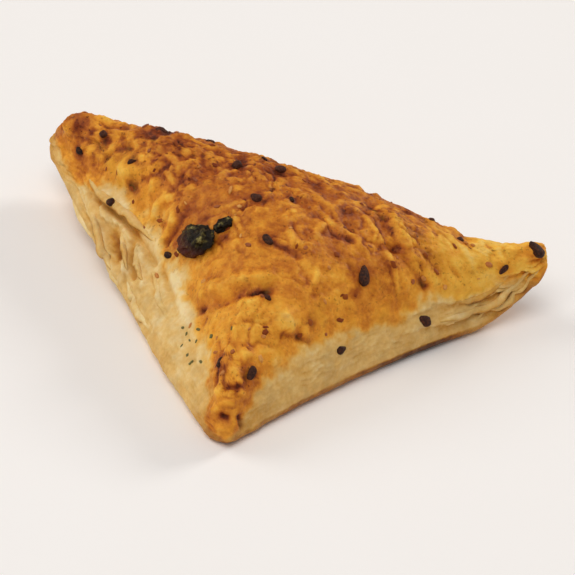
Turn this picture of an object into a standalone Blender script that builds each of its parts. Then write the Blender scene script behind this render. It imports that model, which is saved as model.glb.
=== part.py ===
"""A samosa: a filled triangle of baked puff pastry with grated cheese and seeds baked on top.

It is one closed solid. Seen from above it is a triangle with rounded tips. A rim runs round
it at the top of the walls, the crust rises inside the rim to a low dome, and the underside is
flat in the middle. The left and the right tip curl up off the surface it stands on.
Sizes are in metres, +Z is up, and the origin is under the middle of the piece.
"""

import math

import bmesh
import bpy
import numpy as np
from mathutils import Vector
from mathutils.bvhtree import BVHTree

MM = 0.001
SEED = 16

# Plan, counter-clockwise: the front, the right and the left tip, and the edge that follows each
TIPS = np.array([(-12.48, -42.52), (38.38, 1.14), (-40.92, 25.23)]) * MM
TIP_RADII = np.array([3.52, 2.19, 4.05]) * MM
EDGE_BOW = np.array([-2.18, 0.70, -0.31]) * MM

# Height of the wall at the tips and at the middle of the edges
TIP_WALL = np.array([7.20, 6.03, 4.88]) * MM
EDGE_WALL = np.array([10.37, 11.25, 9.03]) * MM

# How far the rim stands inside the foot of the wall
TIP_INSET = np.array([1.05, 0.73, 0.20]) * MM
EDGE_INSET = np.array([2.46, 2.07, 6.02]) * MM

# The crust's dome: the middle of its rings, its height, and how its shoulder is rounded
DOME_CENTRE = np.array([-4.98, -2.54]) * MM
DOME_HEIGHT = 21.96 * MM
DOME_SHOULDER = 0.71

# The curled tips: how far each is lifted, and how far the curl reaches from it
TIP_LIFT = np.array([0.0, 8.32, 7.07]) * MM
CURL_REACH = np.array([15.0, 13.8, 48.2]) * MM
CURL_POWER = 1.6

FOOT_RADIUS = 1.6 * MM
UNDERSIDE_PRESS = 0.25 * MM

# Steps of the mesh: round the piece, and up its surface
AROUND = 100
DOME_RINGS = 10
WALL_RINGS = 8
FOOT_RINGS = 2
UNDERSIDE_SHARES = (0.94, 0.86, 0.74, 0.45)
WELD = 0.004 * MM

# Soft lumps of the crust
LUMPS = 70
LUMP_RADII = (2.2 * MM, 5.5 * MM)
LUMP_HEIGHT = 0.55 * MM

# Folded layers that show as ledges on the walls
LEDGE_PITCH = 2.9 * MM
LEDGE_DEPTH = 0.75 * MM

# Creases of the crust: two ends in plan, width and depth, all in millimetres
CREASES = [
    (-17.0, -22.6, -13.2, -24.4, 1.5, 1.1),
    (-13.2, -24.4, -6.0, -23.0, 1.4, 0.9),
    (9.0, -1.5, 12.7, -9.3, 1.6, 1.0),
    (12.7, -9.3, 19.5, -11.0, 1.5, 0.9),
    (-30.0, 12.0, -24.0, 3.0, 1.6, 0.7),
    (-3.0, -6.5, 5.0, -9.5, 1.6, 0.7),
]

# Dark seeds that show: places on the crust and the walls, in millimetres
SEEDS = [
    (-31.6, 6.3, 9.7), (-34.2, 15.5, 16.0), (-38.0, 17.1, 11.8), (-29.2, 8.9, 16.5),
    (-24.4, 13.7, 18.9), (-12.5, 4.4, 21.4), (-7.9, 8.5, 19.5), (-5.9, 3.5, 21.0),
    (-9.1, -5.7, 21.9), (-3.9, -5.9, 21.9), (-7.0, -14.9, 20.5), (8.7, -15.9, 15.7),
    (-7.1, -25.0, 16.7), (19.4, -13.5, 5.6), (5.8, -24.6, 7.1), (-7.6, -36.4, 9.8),
    (-13.7, -34.2, 9.9), (-9.4, -41.5, 3.9), (31.3, -3.3, 10.2), (36.4, -0.5, 12.9),
    (-22.1, -7.8, 10.4), (19.3, 1.7, 14.9),
]
SEED_SIZE = np.array([2.5, 1.7, 1.6]) * MM
BACK_SEEDS = 6

# Flakes of red spice and of green herb, in millimetres
FLAKES = [
    (-37.7, 19.7, 14.9), (18.6, -8.1, 14.6), (20.3, -8.5, 13.1), (13.3, -12.4, 15.1),
    (7.5, -19.0, 13.8), (4.0, -15.0, 18.6), (5.3, -5.3, 20.6), (-19.0, -23.8, 6.8),
    (-15.1, -28.4, 10.2), (-19.9, -25.3, 5.2),
]
FLAKE_SIZE = np.array([1.7, 1.3, 1.1]) * MM

# The two charred chips near the left edge: place, then length, width and height
CHIPS = [
    ((-18.1, -11.1, 15.8), (6.5, 5.0, 2.6)),
    ((-14.4, -10.8, 19.3), (2.9, 2.3, 1.9)),
]

# Shreds of grated cheese, baked on to the crust
SHREDS = 32
SHRED_LENGTHS = (5.0 * MM, 8.5 * MM)
SHRED_WIDTH = 2.0 * MM
SHRED_HEIGHT = 1.4 * MM
SHRED_SIDES = 5
SHRED_STEPS = 4
SHRED_GAP = 5.6 * MM
CRUST_MARGIN = 0.09


def clear_scene():
    """Remove every object of the scene."""
    for item in list(bpy.data.objects):
        bpy.data.objects.remove(item, do_unlink=True)


def unit(vectors):
    """Vectors of length 1."""
    return vectors / np.linalg.norm(vectors, axis=-1, keepdims=True)


def tip_arcs():
    """For each tip: the middle of its arc, the arc's two ends, and the sharp corner round it."""
    arcs = []
    for i in range(3):
        to_last = unit(TIPS[i - 1] - TIPS[i])
        to_next = unit(TIPS[(i + 1) % 3] - TIPS[i])
        inward = unit(to_last + to_next)
        half = 0.5 * math.acos(float(to_last @ to_next))
        radius = TIP_RADII[i]
        centre = TIPS[i] + inward * radius
        corner = centre - inward * radius / math.sin(half)
        reach = radius / math.tan(half)
        arcs.append((centre, corner + to_last * reach, corner + to_next * reach, corner))
    return arcs


def plan_outline(count):
    """Points at equal steps round the plan: an arc at each tip, then a bowed edge."""
    arcs = tip_arcs()
    points = []
    for i in range(3):
        centre, start, end, _ = arcs[i]
        first = math.atan2(start[1] - centre[1], start[0] - centre[0])
        last = math.atan2(end[1] - centre[1], end[0] - centre[0])
        if last < first:
            last += 2 * math.pi
        turn = np.linspace(first, last, 40)[:-1]
        points.append(centre + TIP_RADII[i] * np.stack([np.cos(turn), np.sin(turn)], 1))
        along = arcs[(i + 1) % 3][1] - end
        outward = unit(np.array([along[1], -along[0]]))
        t = np.linspace(0, 1, 200)[:-1, None]
        points.append(end + t * along + 4 * t * (1 - t) * EDGE_BOW[i] * outward)
    path = np.concatenate(points)
    path = np.vstack([path, path[:1]])
    length = np.r_[0, np.cumsum(np.linalg.norm(np.diff(path, axis=0), axis=1))]
    at = np.linspace(0, length[-1], count, endpoint=False)
    return np.stack([np.interp(at, length, path[:, 0]), np.interp(at, length, path[:, 1])], 1)


def outward_normals(outline):
    """Plan directions that point out of the outline, softened round the tips."""
    tangent = unit(np.roll(outline, -1, 0) - np.roll(outline, 1, 0))
    normal = np.stack([tangent[:, 1], -tangent[:, 0]], 1)
    for _ in range(2):
        normal = unit(np.roll(normal, 1, 0) + 2 * normal + np.roll(normal, -1, 0))
    return normal


def edge_places(outline):
    """The nearest edge of each outline point, and how far along that edge it is, 0 to 1."""
    away = []
    share = []
    for i in range(3):
        edge = TIPS[(i + 1) % 3] - TIPS[i]
        t = np.clip((outline - TIPS[i]) @ edge / (edge @ edge), 0, 1)
        away.append(np.linalg.norm(outline - TIPS[i] - t[:, None] * edge, axis=1))
        share.append(t)
    nearest = np.argmin(away, axis=0)
    return nearest, np.array(share)[nearest, np.arange(len(outline))]


def along_edges(at_tips, at_middles, edge, t):
    """A size that runs from tip to tip, through its value at the middle of each edge."""
    first = at_tips[edge]
    last = at_tips[(edge + 1) % 3]
    return first * (1 - t) + last * t + (at_middles[edge] - (first + last) / 2) * np.sin(math.pi * t)


def curl(plan):
    """How far the curled tips lift the pastry at plan points."""
    away = np.linalg.norm(plan[..., None, :] - TIPS, axis=-1)
    return (TIP_LIFT * np.clip(1 - away / CURL_REACH, 0, 1) ** CURL_POWER).sum(-1)


def fullness(plan):
    """27 times the product of a point's shares of the sharp corners: 1 amid them, 0 at an edge."""
    corners = np.array([arc[3] for arc in tip_arcs()])
    matrix = np.linalg.inv(np.c_[corners, np.ones(3)].T)
    shares = plan @ matrix[:, :2].T + matrix[:, 2]
    return np.clip(27 * shares.prod(-1), 0, None)


def pastry_rings():
    """Rings of points from the top of the dome, over the rim and the wall, to the underside."""
    outline = plan_outline(AROUND)
    normal = outward_normals(outline)
    edge, t = edge_places(outline)
    rim_height = along_edges(TIP_WALL, EDGE_WALL, edge, t)
    inset = along_edges(TIP_INSET, EDGE_INSET, edge, t)
    rim = outline - normal * inset[:, None]
    under = outline - normal * FOOT_RADIUS
    rings = []
    kinds = []

    def add_ring(kind, share, plan, height):
        rings.append(np.c_[plan, height])
        kinds.append((kind, share))

    for step in range(1, DOME_RINGS + 1):
        s = math.sin(step / DOME_RINGS * math.pi / 2) ** 0.9
        plan = DOME_CENTRE + (rim - DOME_CENTRE) * s
        full = np.clip(fullness(plan) - fullness(rim) * s ** 4, 0, None) ** DOME_SHOULDER
        base = rim_height.mean() + (rim_height - rim_height.mean()) * s ** 2
        add_ring("dome", s, plan, base + (DOME_HEIGHT - base) * full + curl(plan))
    for step in range(1, WALL_RINGS + 1):
        a = step / WALL_RINGS * math.pi / 2
        plan = rim + normal * (inset * math.sin(a) ** 0.9)[:, None]
        height = FOOT_RADIUS + (rim_height - FOOT_RADIUS) * (1 - step / WALL_RINGS)
        add_ring("wall", step / WALL_RINGS, plan, height + curl(plan))
    for step in range(1, FOOT_RINGS + 1):
        a = step / FOOT_RINGS * math.pi / 2
        plan = outline - normal * FOOT_RADIUS * (1 - math.cos(a))
        add_ring("foot", step / FOOT_RINGS, plan, FOOT_RADIUS * (1 - math.sin(a)) + curl(plan))
    for s in UNDERSIDE_SHARES:
        plan = DOME_CENTRE + (under - DOME_CENTRE) * s
        add_ring("underside", s, plan, np.maximum(curl(plan) - UNDERSIDE_PRESS, 0))
    return np.array(rings), kinds, edge, t


def ring_normals(rings):
    """Outward normals of the rings' points."""
    round_it = np.roll(rings, -1, 1) - np.roll(rings, 1, 1)
    down = np.gradient(rings, axis=0)
    return unit(np.cross(down, round_it))


def crust_relief(points, rng):
    """Height of the soft lumps and the creases at points of the crust."""
    plan = points[..., :2]
    height = np.zeros(plan.shape[:-1])
    low = TIPS.min(0)
    high = TIPS.max(0)
    for _ in range(LUMPS):
        place = rng.uniform(low, high)
        radius = rng.uniform(*LUMP_RADII)
        size = rng.uniform(-1, 1) * LUMP_HEIGHT
        height += size * np.exp(-((plan - place) ** 2).sum(-1) / radius ** 2)
    for x0, y0, x1, y1, width, depth in CREASES:
        start = np.array([x0, y0]) * MM
        run = np.array([x1 - x0, y1 - y0]) * MM
        t = np.clip((plan - start) @ run / (run @ run), 0, 1)
        away = np.linalg.norm(plan - start - t[..., None] * run, axis=-1)
        height -= depth * MM * np.exp(-(away / (width * MM)) ** 2)
    return height


def ledge_relief(height, edge, t):
    """Depth of the ledges: steps down the wall, strongest at the open layers."""
    near_left = np.exp(-((t - 0.30) / 0.30) ** 2) * (edge == 2)
    near_right = np.exp(-((t - 0.85) / 0.18) ** 2) * (edge == 0)
    at_back = 0.8 * np.sin(math.pi * t) ** 0.5 * (edge == 1)
    strength = 0.18 + near_left + near_right + at_back
    wander = 0.6 * np.sin(7 * t + 2 * edge) + 0.25 * np.sin(19 * t + edge)
    step = (height / LEDGE_PITCH + wander) % 1.0
    return -LEDGE_DEPTH * strength * np.clip(step / 0.7, 0, 1) ** 2 * (step < 0.999)


def make_pastry(rng):
    """The folded pastry with its relief, as one closed mesh object."""
    rings, kinds, edge, t = pastry_rings()
    normals = ring_normals(rings)
    relief = crust_relief(rings, rng)
    for i, (kind, share) in enumerate(kinds):
        if kind == "dome":
            move = relief[i] * (1 - share ** 8)
        elif kind == "wall":
            fade = min(1.0, 4 * (1 - share))
            move = ledge_relief(rings[i, :, 2], edge, t) * fade * min(1.0, 3 * share)
        else:
            move = np.zeros(AROUND)
        rings[i] += normals[i] * move[:, None]
    top = np.array([[*DOME_CENTRE, rings[0, :, 2].mean()]])
    bottom = np.array([[*DOME_CENTRE, 0.0]])
    points = np.concatenate([rings.reshape(-1, 3), top, bottom])
    faces = []
    for i in range(len(rings) - 1):
        for j in range(AROUND):
            k = (j + 1) % AROUND
            faces.append((i * AROUND + j, (i + 1) * AROUND + j, (i + 1) * AROUND + k, i * AROUND + k))
    last = (len(rings) - 1) * AROUND
    for j in range(AROUND):
        k = (j + 1) % AROUND
        faces.append((len(points) - 2, j, k))
        faces.append((len(points) - 1, last + k, last + j))
    return mesh_object("samosa", points, faces)


def mesh_object(name, points, faces, collection=None):
    """A mesh object of triangles from points and faces, linked to the scene or a collection."""
    mesh = bpy.data.meshes.new(name)
    mesh.from_pydata([tuple(p) for p in points], [], faces)
    shape = bmesh.new()
    shape.from_mesh(mesh)
    bmesh.ops.triangulate(shape, faces=shape.faces[:])
    shape.to_mesh(mesh)
    shape.free()
    item = bpy.data.objects.new(name, mesh)
    (collection or bpy.context.scene.collection).objects.link(item)
    return item


def surface_frame(tree, place, heading):
    """The nearest surface point to a place, and directions along, across and out of it there."""
    point, out, _, _ = tree.find_nearest(Vector(place))
    along = Vector((math.cos(heading), math.sin(heading), 0))
    along = (along - out * along.dot(out)).normalized()
    return np.array(point), np.array(along), np.array(out.cross(along)), np.array(out)


def add_lump(collection, tree, place, size, heading, sunk, detail, rng):
    """A rounded, slightly uneven piece that lies on the surface, sunk by a share of its height."""
    point, along, across, out = surface_frame(tree, place, heading)
    shape = bmesh.new()
    if detail > 1:
        bmesh.ops.create_icosphere(shape, subdivisions=detail, radius=0.5)
    else:
        bmesh.ops.create_uvsphere(shape, u_segments=5, v_segments=4, radius=0.5)
    for vert in shape.verts:
        swell = 1 + rng.uniform(-0.09, 0.09)
        x, y, z = np.array(vert.co) * size * swell
        vert.co = point + along * x + across * y + out * (z + size[2] * (0.5 - sunk))
    bmesh.ops.triangulate(shape, faces=shape.faces[:])
    mesh = bpy.data.meshes.new("lump")
    shape.to_mesh(mesh)
    shape.free()
    collection.objects.link(bpy.data.objects.new("lump", mesh))


def add_shred(collection, tree, place, heading, length, bend):
    """A bent shred that follows the surface: a tapered tube with closed ends."""
    points = []
    spot = np.array(place)
    for step in range(SHRED_STEPS + 1):
        point, along, across, out = surface_frame(tree, spot, heading)
        taper = 0.45 + 0.55 * math.sin(math.pi * (step + 0.5) / (SHRED_STEPS + 1))
        for side in range(SHRED_SIDES):
            a = 2 * math.pi * side / SHRED_SIDES
            aside = across * math.cos(a) * SHRED_WIDTH / 2 * taper
            up = out * math.sin(a) * SHRED_HEIGHT / 2 * taper
            points.append(point + aside + up + out * 0.18 * SHRED_HEIGHT)
        spot = point + along * length / SHRED_STEPS
        heading += bend / SHRED_STEPS
    faces = []
    for i in range(SHRED_STEPS):
        for j in range(SHRED_SIDES):
            k = (j + 1) % SHRED_SIDES
            low = i * SHRED_SIDES
            high = low + SHRED_SIDES
            faces.append((low + j, high + j, high + k, low + k))
    faces.append(tuple(range(SHRED_SIDES)))
    faces.append(tuple(reversed(range(SHRED_STEPS * SHRED_SIDES, (SHRED_STEPS + 1) * SHRED_SIDES))))
    mesh_object("shred", points, faces, collection)


def on_crust(plan):
    """Whether a plan point lies well inside the rim: its share of every tip is large enough."""
    sides = np.c_[TIPS, np.ones(3)].T
    return np.linalg.solve(sides, np.r_[plan, 1.0]).min() > CRUST_MARGIN


def shred_places(rng):
    """Start, heading, length, bend and run of the shreds, on the crust with their middles apart."""
    places = []
    while len(places) < SHREDS:
        plan = rng.dirichlet((1.0, 1.0, 1.0)) @ TIPS
        heading = rng.uniform(0, math.pi)
        length = rng.uniform(*SHRED_LENGTHS)
        run = np.array([math.cos(heading), math.sin(heading)]) * length
        middle = plan + run / 2
        apart = all(np.linalg.norm(middle - other[0] - other[4] / 2) > SHRED_GAP for other in places)
        if apart and on_crust(plan) and on_crust(plan + run):
            places.append((plan, heading, length, rng.uniform(-1.2, 1.2), run))
    return places


def add_toppings(collection, tree, rng):
    """Every shred, seed, flake and chip of the crust, largest first."""
    for place, size in CHIPS:
        at = np.array(place) * MM
        detail = 2 if size[0] > 4 else 1
        add_lump(collection, tree, at, np.array(size) * MM, rng.uniform(0, 0.6), 0.4, detail, rng)
    for plan, heading, length, bend, _ in shred_places(rng):
        above = (plan[0], plan[1], DOME_HEIGHT)
        add_shred(collection, tree, above, heading - bend / 2, length, bend)
    back_start = TIPS[1] * 0.8 + TIPS[2] * 0.2
    back_end = TIPS[1] * 0.2 + TIPS[2] * 0.8
    places = [np.array(seed) * MM for seed in SEEDS]
    for i in range(BACK_SEEDS):
        plan = back_start + (back_end - back_start) * (i + rng.uniform(0.2, 0.8)) / BACK_SEEDS
        places.append(np.array([plan[0], plan[1], rng.uniform(4, 10) * MM]))
    for at in places:
        size = SEED_SIZE * rng.uniform(0.85, 1.1)
        add_lump(collection, tree, at, size, rng.uniform(0, math.pi), 0.42, 1, rng)
    for flake in FLAKES:
        at = np.array(flake) * MM
        add_lump(collection, tree, at, FLAKE_SIZE, rng.uniform(0, math.pi), 0.45, 1, rng)


def fuse(item, collection):
    """Join a collection's closed pieces to the object for good, and keep one closed body."""
    union = item.modifiers.new("toppings", "BOOLEAN")
    union.operation = "UNION"
    union.operand_type = "COLLECTION"
    union.collection = collection
    union.solver = "EXACT"
    view = bpy.context.evaluated_depsgraph_get()
    mesh = bpy.data.meshes.new_from_object(item.evaluated_get(view))
    item.modifiers.clear()
    item.data = mesh
    for piece in list(collection.objects):
        bpy.data.objects.remove(piece, do_unlink=True)
    bpy.data.collections.remove(collection)
    shape = bmesh.new()
    shape.from_mesh(mesh)
    keep_largest_body(shape)
    bmesh.ops.triangulate(shape, faces=shape.faces[:])
    bmesh.ops.remove_doubles(shape, verts=shape.verts[:], dist=WELD)
    bmesh.ops.dissolve_degenerate(shape, edges=shape.edges[:], dist=WELD)
    bmesh.ops.triangulate(shape, faces=shape.faces[:])
    shape.to_mesh(mesh)
    shape.free()


def keep_largest_body(shape):
    """Drop every connected part but the largest: loose scraps, and the skins of sealed hollows."""
    waiting = set(shape.verts)
    bodies = []
    while waiting:
        body = [waiting.pop()]
        for vert in body:
            for link in vert.link_edges:
                other = link.other_vert(vert)
                if other in waiting:
                    waiting.remove(other)
                    body.append(other)
        bodies.append(body)
    bodies.sort(key=len)
    for body in bodies[:-1]:
        bmesh.ops.delete(shape, geom=body, context="VERTS")


def centre_on_base(item):
    """Move the mesh so that the middle of its box's underside is the origin."""
    points = np.array([tuple(v.co) for v in item.data.vertices])
    low = points.min(0)
    high = points.max(0)
    points -= np.array([(low[0] + high[0]) / 2, (low[1] + high[1]) / 2, low[2]])
    item.data.vertices.foreach_set("co", points.astype(np.float32).ravel())
    item.data.update()


def baked_crust():
    """Golden-brown baked pastry, with a faint shine of melted cheese."""
    material = bpy.data.materials.new("baked crust")
    material.use_nodes = True
    shader = material.node_tree.nodes["Principled BSDF"]
    shader.inputs["Base Color"].default_value = (0.56, 0.27, 0.07, 1)
    shader.inputs["Roughness"].default_value = 0.5
    shader.inputs["Metallic"].default_value = 0.0
    return material


def main():
    """Build the samosa."""
    clear_scene()
    rng = np.random.default_rng(SEED)
    samosa = make_pastry(rng)
    shape = bmesh.new()
    shape.from_mesh(samosa.data)
    tree = BVHTree.FromBMesh(shape)
    shape.free()
    toppings = bpy.data.collections.new("toppings")
    bpy.context.scene.collection.children.link(toppings)
    add_toppings(toppings, tree, rng)
    fuse(samosa, toppings)
    centre_on_base(samosa)
    samosa.data.materials.clear()
    samosa.data.materials.append(baked_crust())
    samosa.data.shade_smooth()
    samosa.data.set_sharp_from_angle(angle=math.radians(50))


main()
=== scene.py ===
# %% [markdown]
# # A samosa: a folded triangle of baked puff pastry under grated cheese and seeds
#
# The CAD solid has the samosa's real size and its main forms: the triangle with rounded tips, the
# slanted walls, the low dome and the two curled tips. Here the same form is built again with far
# smaller faces, so that it can carry what makes it look baked: strands of melted cheese, flaky
# layers, browned spots, seeds and spice. Lengths are metres unless a name or comment says mm.

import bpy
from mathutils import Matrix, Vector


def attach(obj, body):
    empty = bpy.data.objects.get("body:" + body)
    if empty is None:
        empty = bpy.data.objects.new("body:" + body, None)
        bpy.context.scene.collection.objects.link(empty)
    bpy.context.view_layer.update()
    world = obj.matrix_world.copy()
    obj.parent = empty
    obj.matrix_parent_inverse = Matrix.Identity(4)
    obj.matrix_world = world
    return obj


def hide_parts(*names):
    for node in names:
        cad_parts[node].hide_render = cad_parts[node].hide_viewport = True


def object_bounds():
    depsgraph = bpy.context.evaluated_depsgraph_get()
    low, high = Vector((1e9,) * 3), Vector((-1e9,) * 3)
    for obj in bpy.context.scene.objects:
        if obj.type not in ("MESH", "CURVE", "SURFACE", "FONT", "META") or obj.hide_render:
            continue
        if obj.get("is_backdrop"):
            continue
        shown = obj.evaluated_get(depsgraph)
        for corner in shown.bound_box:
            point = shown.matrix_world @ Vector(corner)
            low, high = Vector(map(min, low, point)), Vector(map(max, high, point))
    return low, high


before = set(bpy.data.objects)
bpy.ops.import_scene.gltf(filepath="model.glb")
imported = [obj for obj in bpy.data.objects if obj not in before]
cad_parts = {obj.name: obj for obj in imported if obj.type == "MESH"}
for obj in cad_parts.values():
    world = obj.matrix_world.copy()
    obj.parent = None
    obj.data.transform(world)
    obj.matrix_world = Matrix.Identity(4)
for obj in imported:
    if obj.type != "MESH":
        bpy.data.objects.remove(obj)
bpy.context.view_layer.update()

# %% Tools
import math

import bpy
import numpy as np
from mathutils import Matrix, Vector
from mathutils.bvhtree import BVHTree

MM = 0.001
# From the origin that the sizes below are measured from to the origin of the frame
CENTRE_SHIFT = np.array([1.7906, 8.0116, 0.0]) * MM
STUDIO_SEED = 7


def unit(vectors):
    """Each vector divided by its own length."""
    return vectors / np.maximum(np.linalg.norm(vectors, axis=-1, keepdims=True), 1e-12)


def ease(x, low, high):
    """0 below low, 1 above high, and the smooth step 3x^2 - 2x^3 between them."""
    t = np.clip((x - low) / (high - low), 0, 1)
    return t * t * (3 - 2 * t)


def mm(rows):
    """A list of rows in millimetres as an array in metres."""
    return np.array(rows, float) * MM


def bell(away, width):
    """1 at no distance, falling off as e^-(distance / width)^2."""
    return np.exp(-(away / width) ** 2)


def away_from(points, spot):
    """Distance of each point from one spot."""
    return np.linalg.norm(points - spot, axis=1)


def walk(path, shares):
    """Points at shares 0 to 1 of the length of a path of straight pieces."""
    length = np.r_[0, np.cumsum(np.linalg.norm(np.diff(path, axis=0), axis=1))]
    return np.stack([np.interp(shares * length[-1], length, line) for line in path.T], 1)


def join_rings(ids):
    """Four-sided faces between each closed ring of point numbers and the ring after it."""
    beside = np.roll(ids, -1, 1)
    return np.stack([ids[:-1], ids[1:], beside[1:], beside[:-1]], -1).reshape(-1, 4)


# %% [markdown]
# ## Grain: noise worked out at points
#
# Baked dough is uneven at every size. A lattice noise gives that: each lattice point has its own
# random direction, a place between them blends its eight corners' slopes, and several layers,
# each finer and weaker, are added. It could come from a texture node, but then it would only
# tint or bump the surface; worked out here it moves the real vertices.

# %% Noise
SLOPES = 4096
CORNER_PRIMES = np.array([73856093, 19349663, 83492791])
LATTICE_START = 100.0
TO_ONE = 1.7


def lattice_noise(points, size, seed):
    """Smooth noise of about -1 to 1: at each lattice corner the dot product of a random slope and
    the offset from that corner, blended by the quintic 6t^5 - 15t^4 + 10t^3 along x, y and z."""
    rng = np.random.default_rng(seed)
    slopes = unit(rng.normal(size=(SLOPES, 3)))
    at = points / size + LATTICE_START
    cell = np.floor(at).astype(np.int64)
    part = at - cell
    blend = part ** 3 * (part * (part * 6 - 15) + 10)
    total = np.zeros(len(points))
    for corner in np.ndindex(2, 2, 2):
        node = cell + corner
        key = np.bitwise_xor.reduce(node * CORNER_PRIMES, axis=1) % SLOPES
        lean = (slopes[key] * (part - corner)).sum(1)
        weight = np.where(np.array(corner, bool), blend, 1 - blend).prod(1)
        total += weight * lean
    return TO_ONE * total


def layered_noise(points, size, layers, seed, fade=0.55):
    """Sum of lattice noises, each half the size of the last and fade times as strong."""
    total = np.zeros(len(points))
    strength = 1.0
    for layer in range(layers):
        total += strength * lattice_noise(points, size / 2 ** layer, seed + layer)
        strength *= fade
    return total


print("noise at three places:", lattice_noise(mm([(0, 0, 0), (3, 2, 1), (5, 5, 2)]), 0.002, 1).round(2))

# %% [markdown]
# ## The form: a rounded triangle with walls, a dome and two curled tips
#
# A square of pastry was folded over its filling, pressed shut, and puffed up in the oven. The
# form could be sculpted freely, but it has to agree with the CAD solid, so the same named sizes
# and formulas make it here: a triangle with an arc at each tip and slightly bowed edges, a rim
# that stands inside the foot of the wall, and a dome that follows the product of a point's three
# shares of the corners. That product is 1 in the middle and 0 along every edge.

# %% Named sizes of the form
TIPS = mm([(-12.48, -42.52), (38.38, 1.14), (-40.92, 25.23)])
TIP_RADII = mm([3.52, 2.19, 4.05])
EDGE_BOW = mm([-2.18, 0.70, -0.31])
TIP_WALL = mm([7.20, 6.03, 4.88])
EDGE_WALL = mm([10.37, 11.25, 9.03])
TIP_INSET = mm([1.05, 0.73, 0.20])
EDGE_INSET = mm([2.46, 2.07, 6.02])
DOME_CENTRE = mm([-4.98, -2.54])
DOME_HEIGHT = 21.96 * MM
DOME_SHOULDER = 0.71
TIP_LIFT = mm([0.0, 8.32, 7.07])
CURL_REACH = mm([15.0, 13.8, 48.2])
CURL_POWER = 1.6
FOOT_RADIUS = 1.6 * MM
UNDERSIDE_PRESS = 0.25 * MM
FORM_SEED = 16


# %% Outline in plan
ARC_STEPS = 40
EDGE_STEPS = 200


def tip_arcs():
    """For each tip: the middle of its arc, the arc's two ends, and the sharp corner round it."""
    arcs = []
    for i in range(3):
        to_last = unit(TIPS[i - 1] - TIPS[i])
        to_next = unit(TIPS[(i + 1) % 3] - TIPS[i])
        inward = unit(to_last + to_next)
        half = 0.5 * math.acos(float(to_last @ to_next))
        centre = TIPS[i] + inward * TIP_RADII[i]
        corner = centre - inward * TIP_RADII[i] / math.sin(half)
        reach = TIP_RADII[i] / math.tan(half)
        arcs.append((centre, corner + to_last * reach, corner + to_next * reach, corner))
    return arcs


def plan_outline(count):
    """Points at equal steps round the plan: an arc at each tip, then an edge bowed by 4t(1 - t)."""
    arcs = tip_arcs()
    points = []
    for i in range(3):
        centre, start, end, _ = arcs[i]
        first = math.atan2(start[1] - centre[1], start[0] - centre[0])
        last = math.atan2(end[1] - centre[1], end[0] - centre[0])
        if last < first:
            last += 2 * math.pi
        turn = np.linspace(first, last, ARC_STEPS)[:-1]
        points.append(centre + TIP_RADII[i] * np.stack([np.cos(turn), np.sin(turn)], 1))
        along = arcs[(i + 1) % 3][1] - end
        outward = unit(np.array([along[1], -along[0]]))
        t = np.linspace(0, 1, EDGE_STEPS)[:-1, None]
        points.append(end + t * along + 4 * t * (1 - t) * EDGE_BOW[i] * outward)
    path = np.concatenate(points)
    return walk(np.vstack([path, path[:1]]), np.arange(count) / count)


SHELLS = 108
AROUND = 8 * SHELLS
NORMAL_PASSES = 150

outline = plan_outline(AROUND)
tangent = unit(np.roll(outline, -1, 0) - np.roll(outline, 1, 0))
outward = np.stack([tangent[:, 1], -tangent[:, 0]], 1)
for _ in range(NORMAL_PASSES):
    outward = unit(np.roll(outward, 1, 0) + 2 * outward + np.roll(outward, -1, 0))
print("outline:", AROUND, "points,", round(np.ptp(outline[:, 0]) / MM, 1), "mm wide")


# %% Heights along the rim, the curl and the dome
def edge_places(points):
    """The nearest edge of each outline point, and how far along that edge it is, 0 to 1."""
    away = []
    share = []
    for i in range(3):
        edge = TIPS[(i + 1) % 3] - TIPS[i]
        t = np.clip((points - TIPS[i]) @ edge / (edge @ edge), 0, 1)
        away.append(away_from(points, TIPS[i] + t[:, None] * edge))
        share.append(t)
    nearest = np.argmin(away, axis=0)
    return nearest, np.array(share)[nearest, np.arange(len(points))]


def along_edges(at_tips, at_middles, edge, t):
    """A size that runs from tip to tip: a straight blend of the two, plus a half sine wave that
    brings it to its value at the middle of the edge."""
    first = at_tips[edge]
    last = at_tips[(edge + 1) % 3]
    return first * (1 - t) + last * t + (at_middles[edge] - (first + last) / 2) * np.sin(math.pi * t)


def curl(plan):
    """Lift of the curled tips: lift times (1 - distance / reach) to the power 1.6, summed."""
    away = np.linalg.norm(plan[..., None, :] - TIPS, axis=-1)
    return (TIP_LIFT * np.clip(1 - away / CURL_REACH, 0, 1) ** CURL_POWER).sum(-1)


def fullness(plan):
    """27 times the product of a point's shares of the sharp corners: 1 amid them, 0 at an edge."""
    corners = np.array([arc[3] for arc in tip_arcs()])
    matrix = np.linalg.inv(np.c_[corners, np.ones(3)].T)
    shares = plan @ matrix[:, :2].T + matrix[:, 2]
    return np.clip(27 * shares.prod(-1), 0, None)


edge, edge_share = edge_places(outline)
rim_height = along_edges(TIP_WALL, EDGE_WALL, edge, edge_share)
inset = along_edges(TIP_INSET, EDGE_INSET, edge, edge_share)
rim = outline - outward * inset[:, None]
print("rim height, mm:", (rim_height.min() / MM).round(1), "to", (rim_height.max() / MM).round(1))

# %% [markdown]
# ## One closed skin
#
# Rings that shrink to a point would give long thin faces in the middle of the crust, where the
# eye looks first. A square grid wrapped on to the disc has even faces everywhere: each square
# shell of the grid becomes one ring of the dome. The wall, the rounded foot and the underside
# carry on from the outermost shell ring by ring, and a fan closes the underside.

# %% Grid of the crust, then rings down to the underside
WALL_RINGS = 34
FOOT_RINGS = 4
UNDERSIDE_RINGS = 9
WALL_LEAN = 0.9


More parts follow.
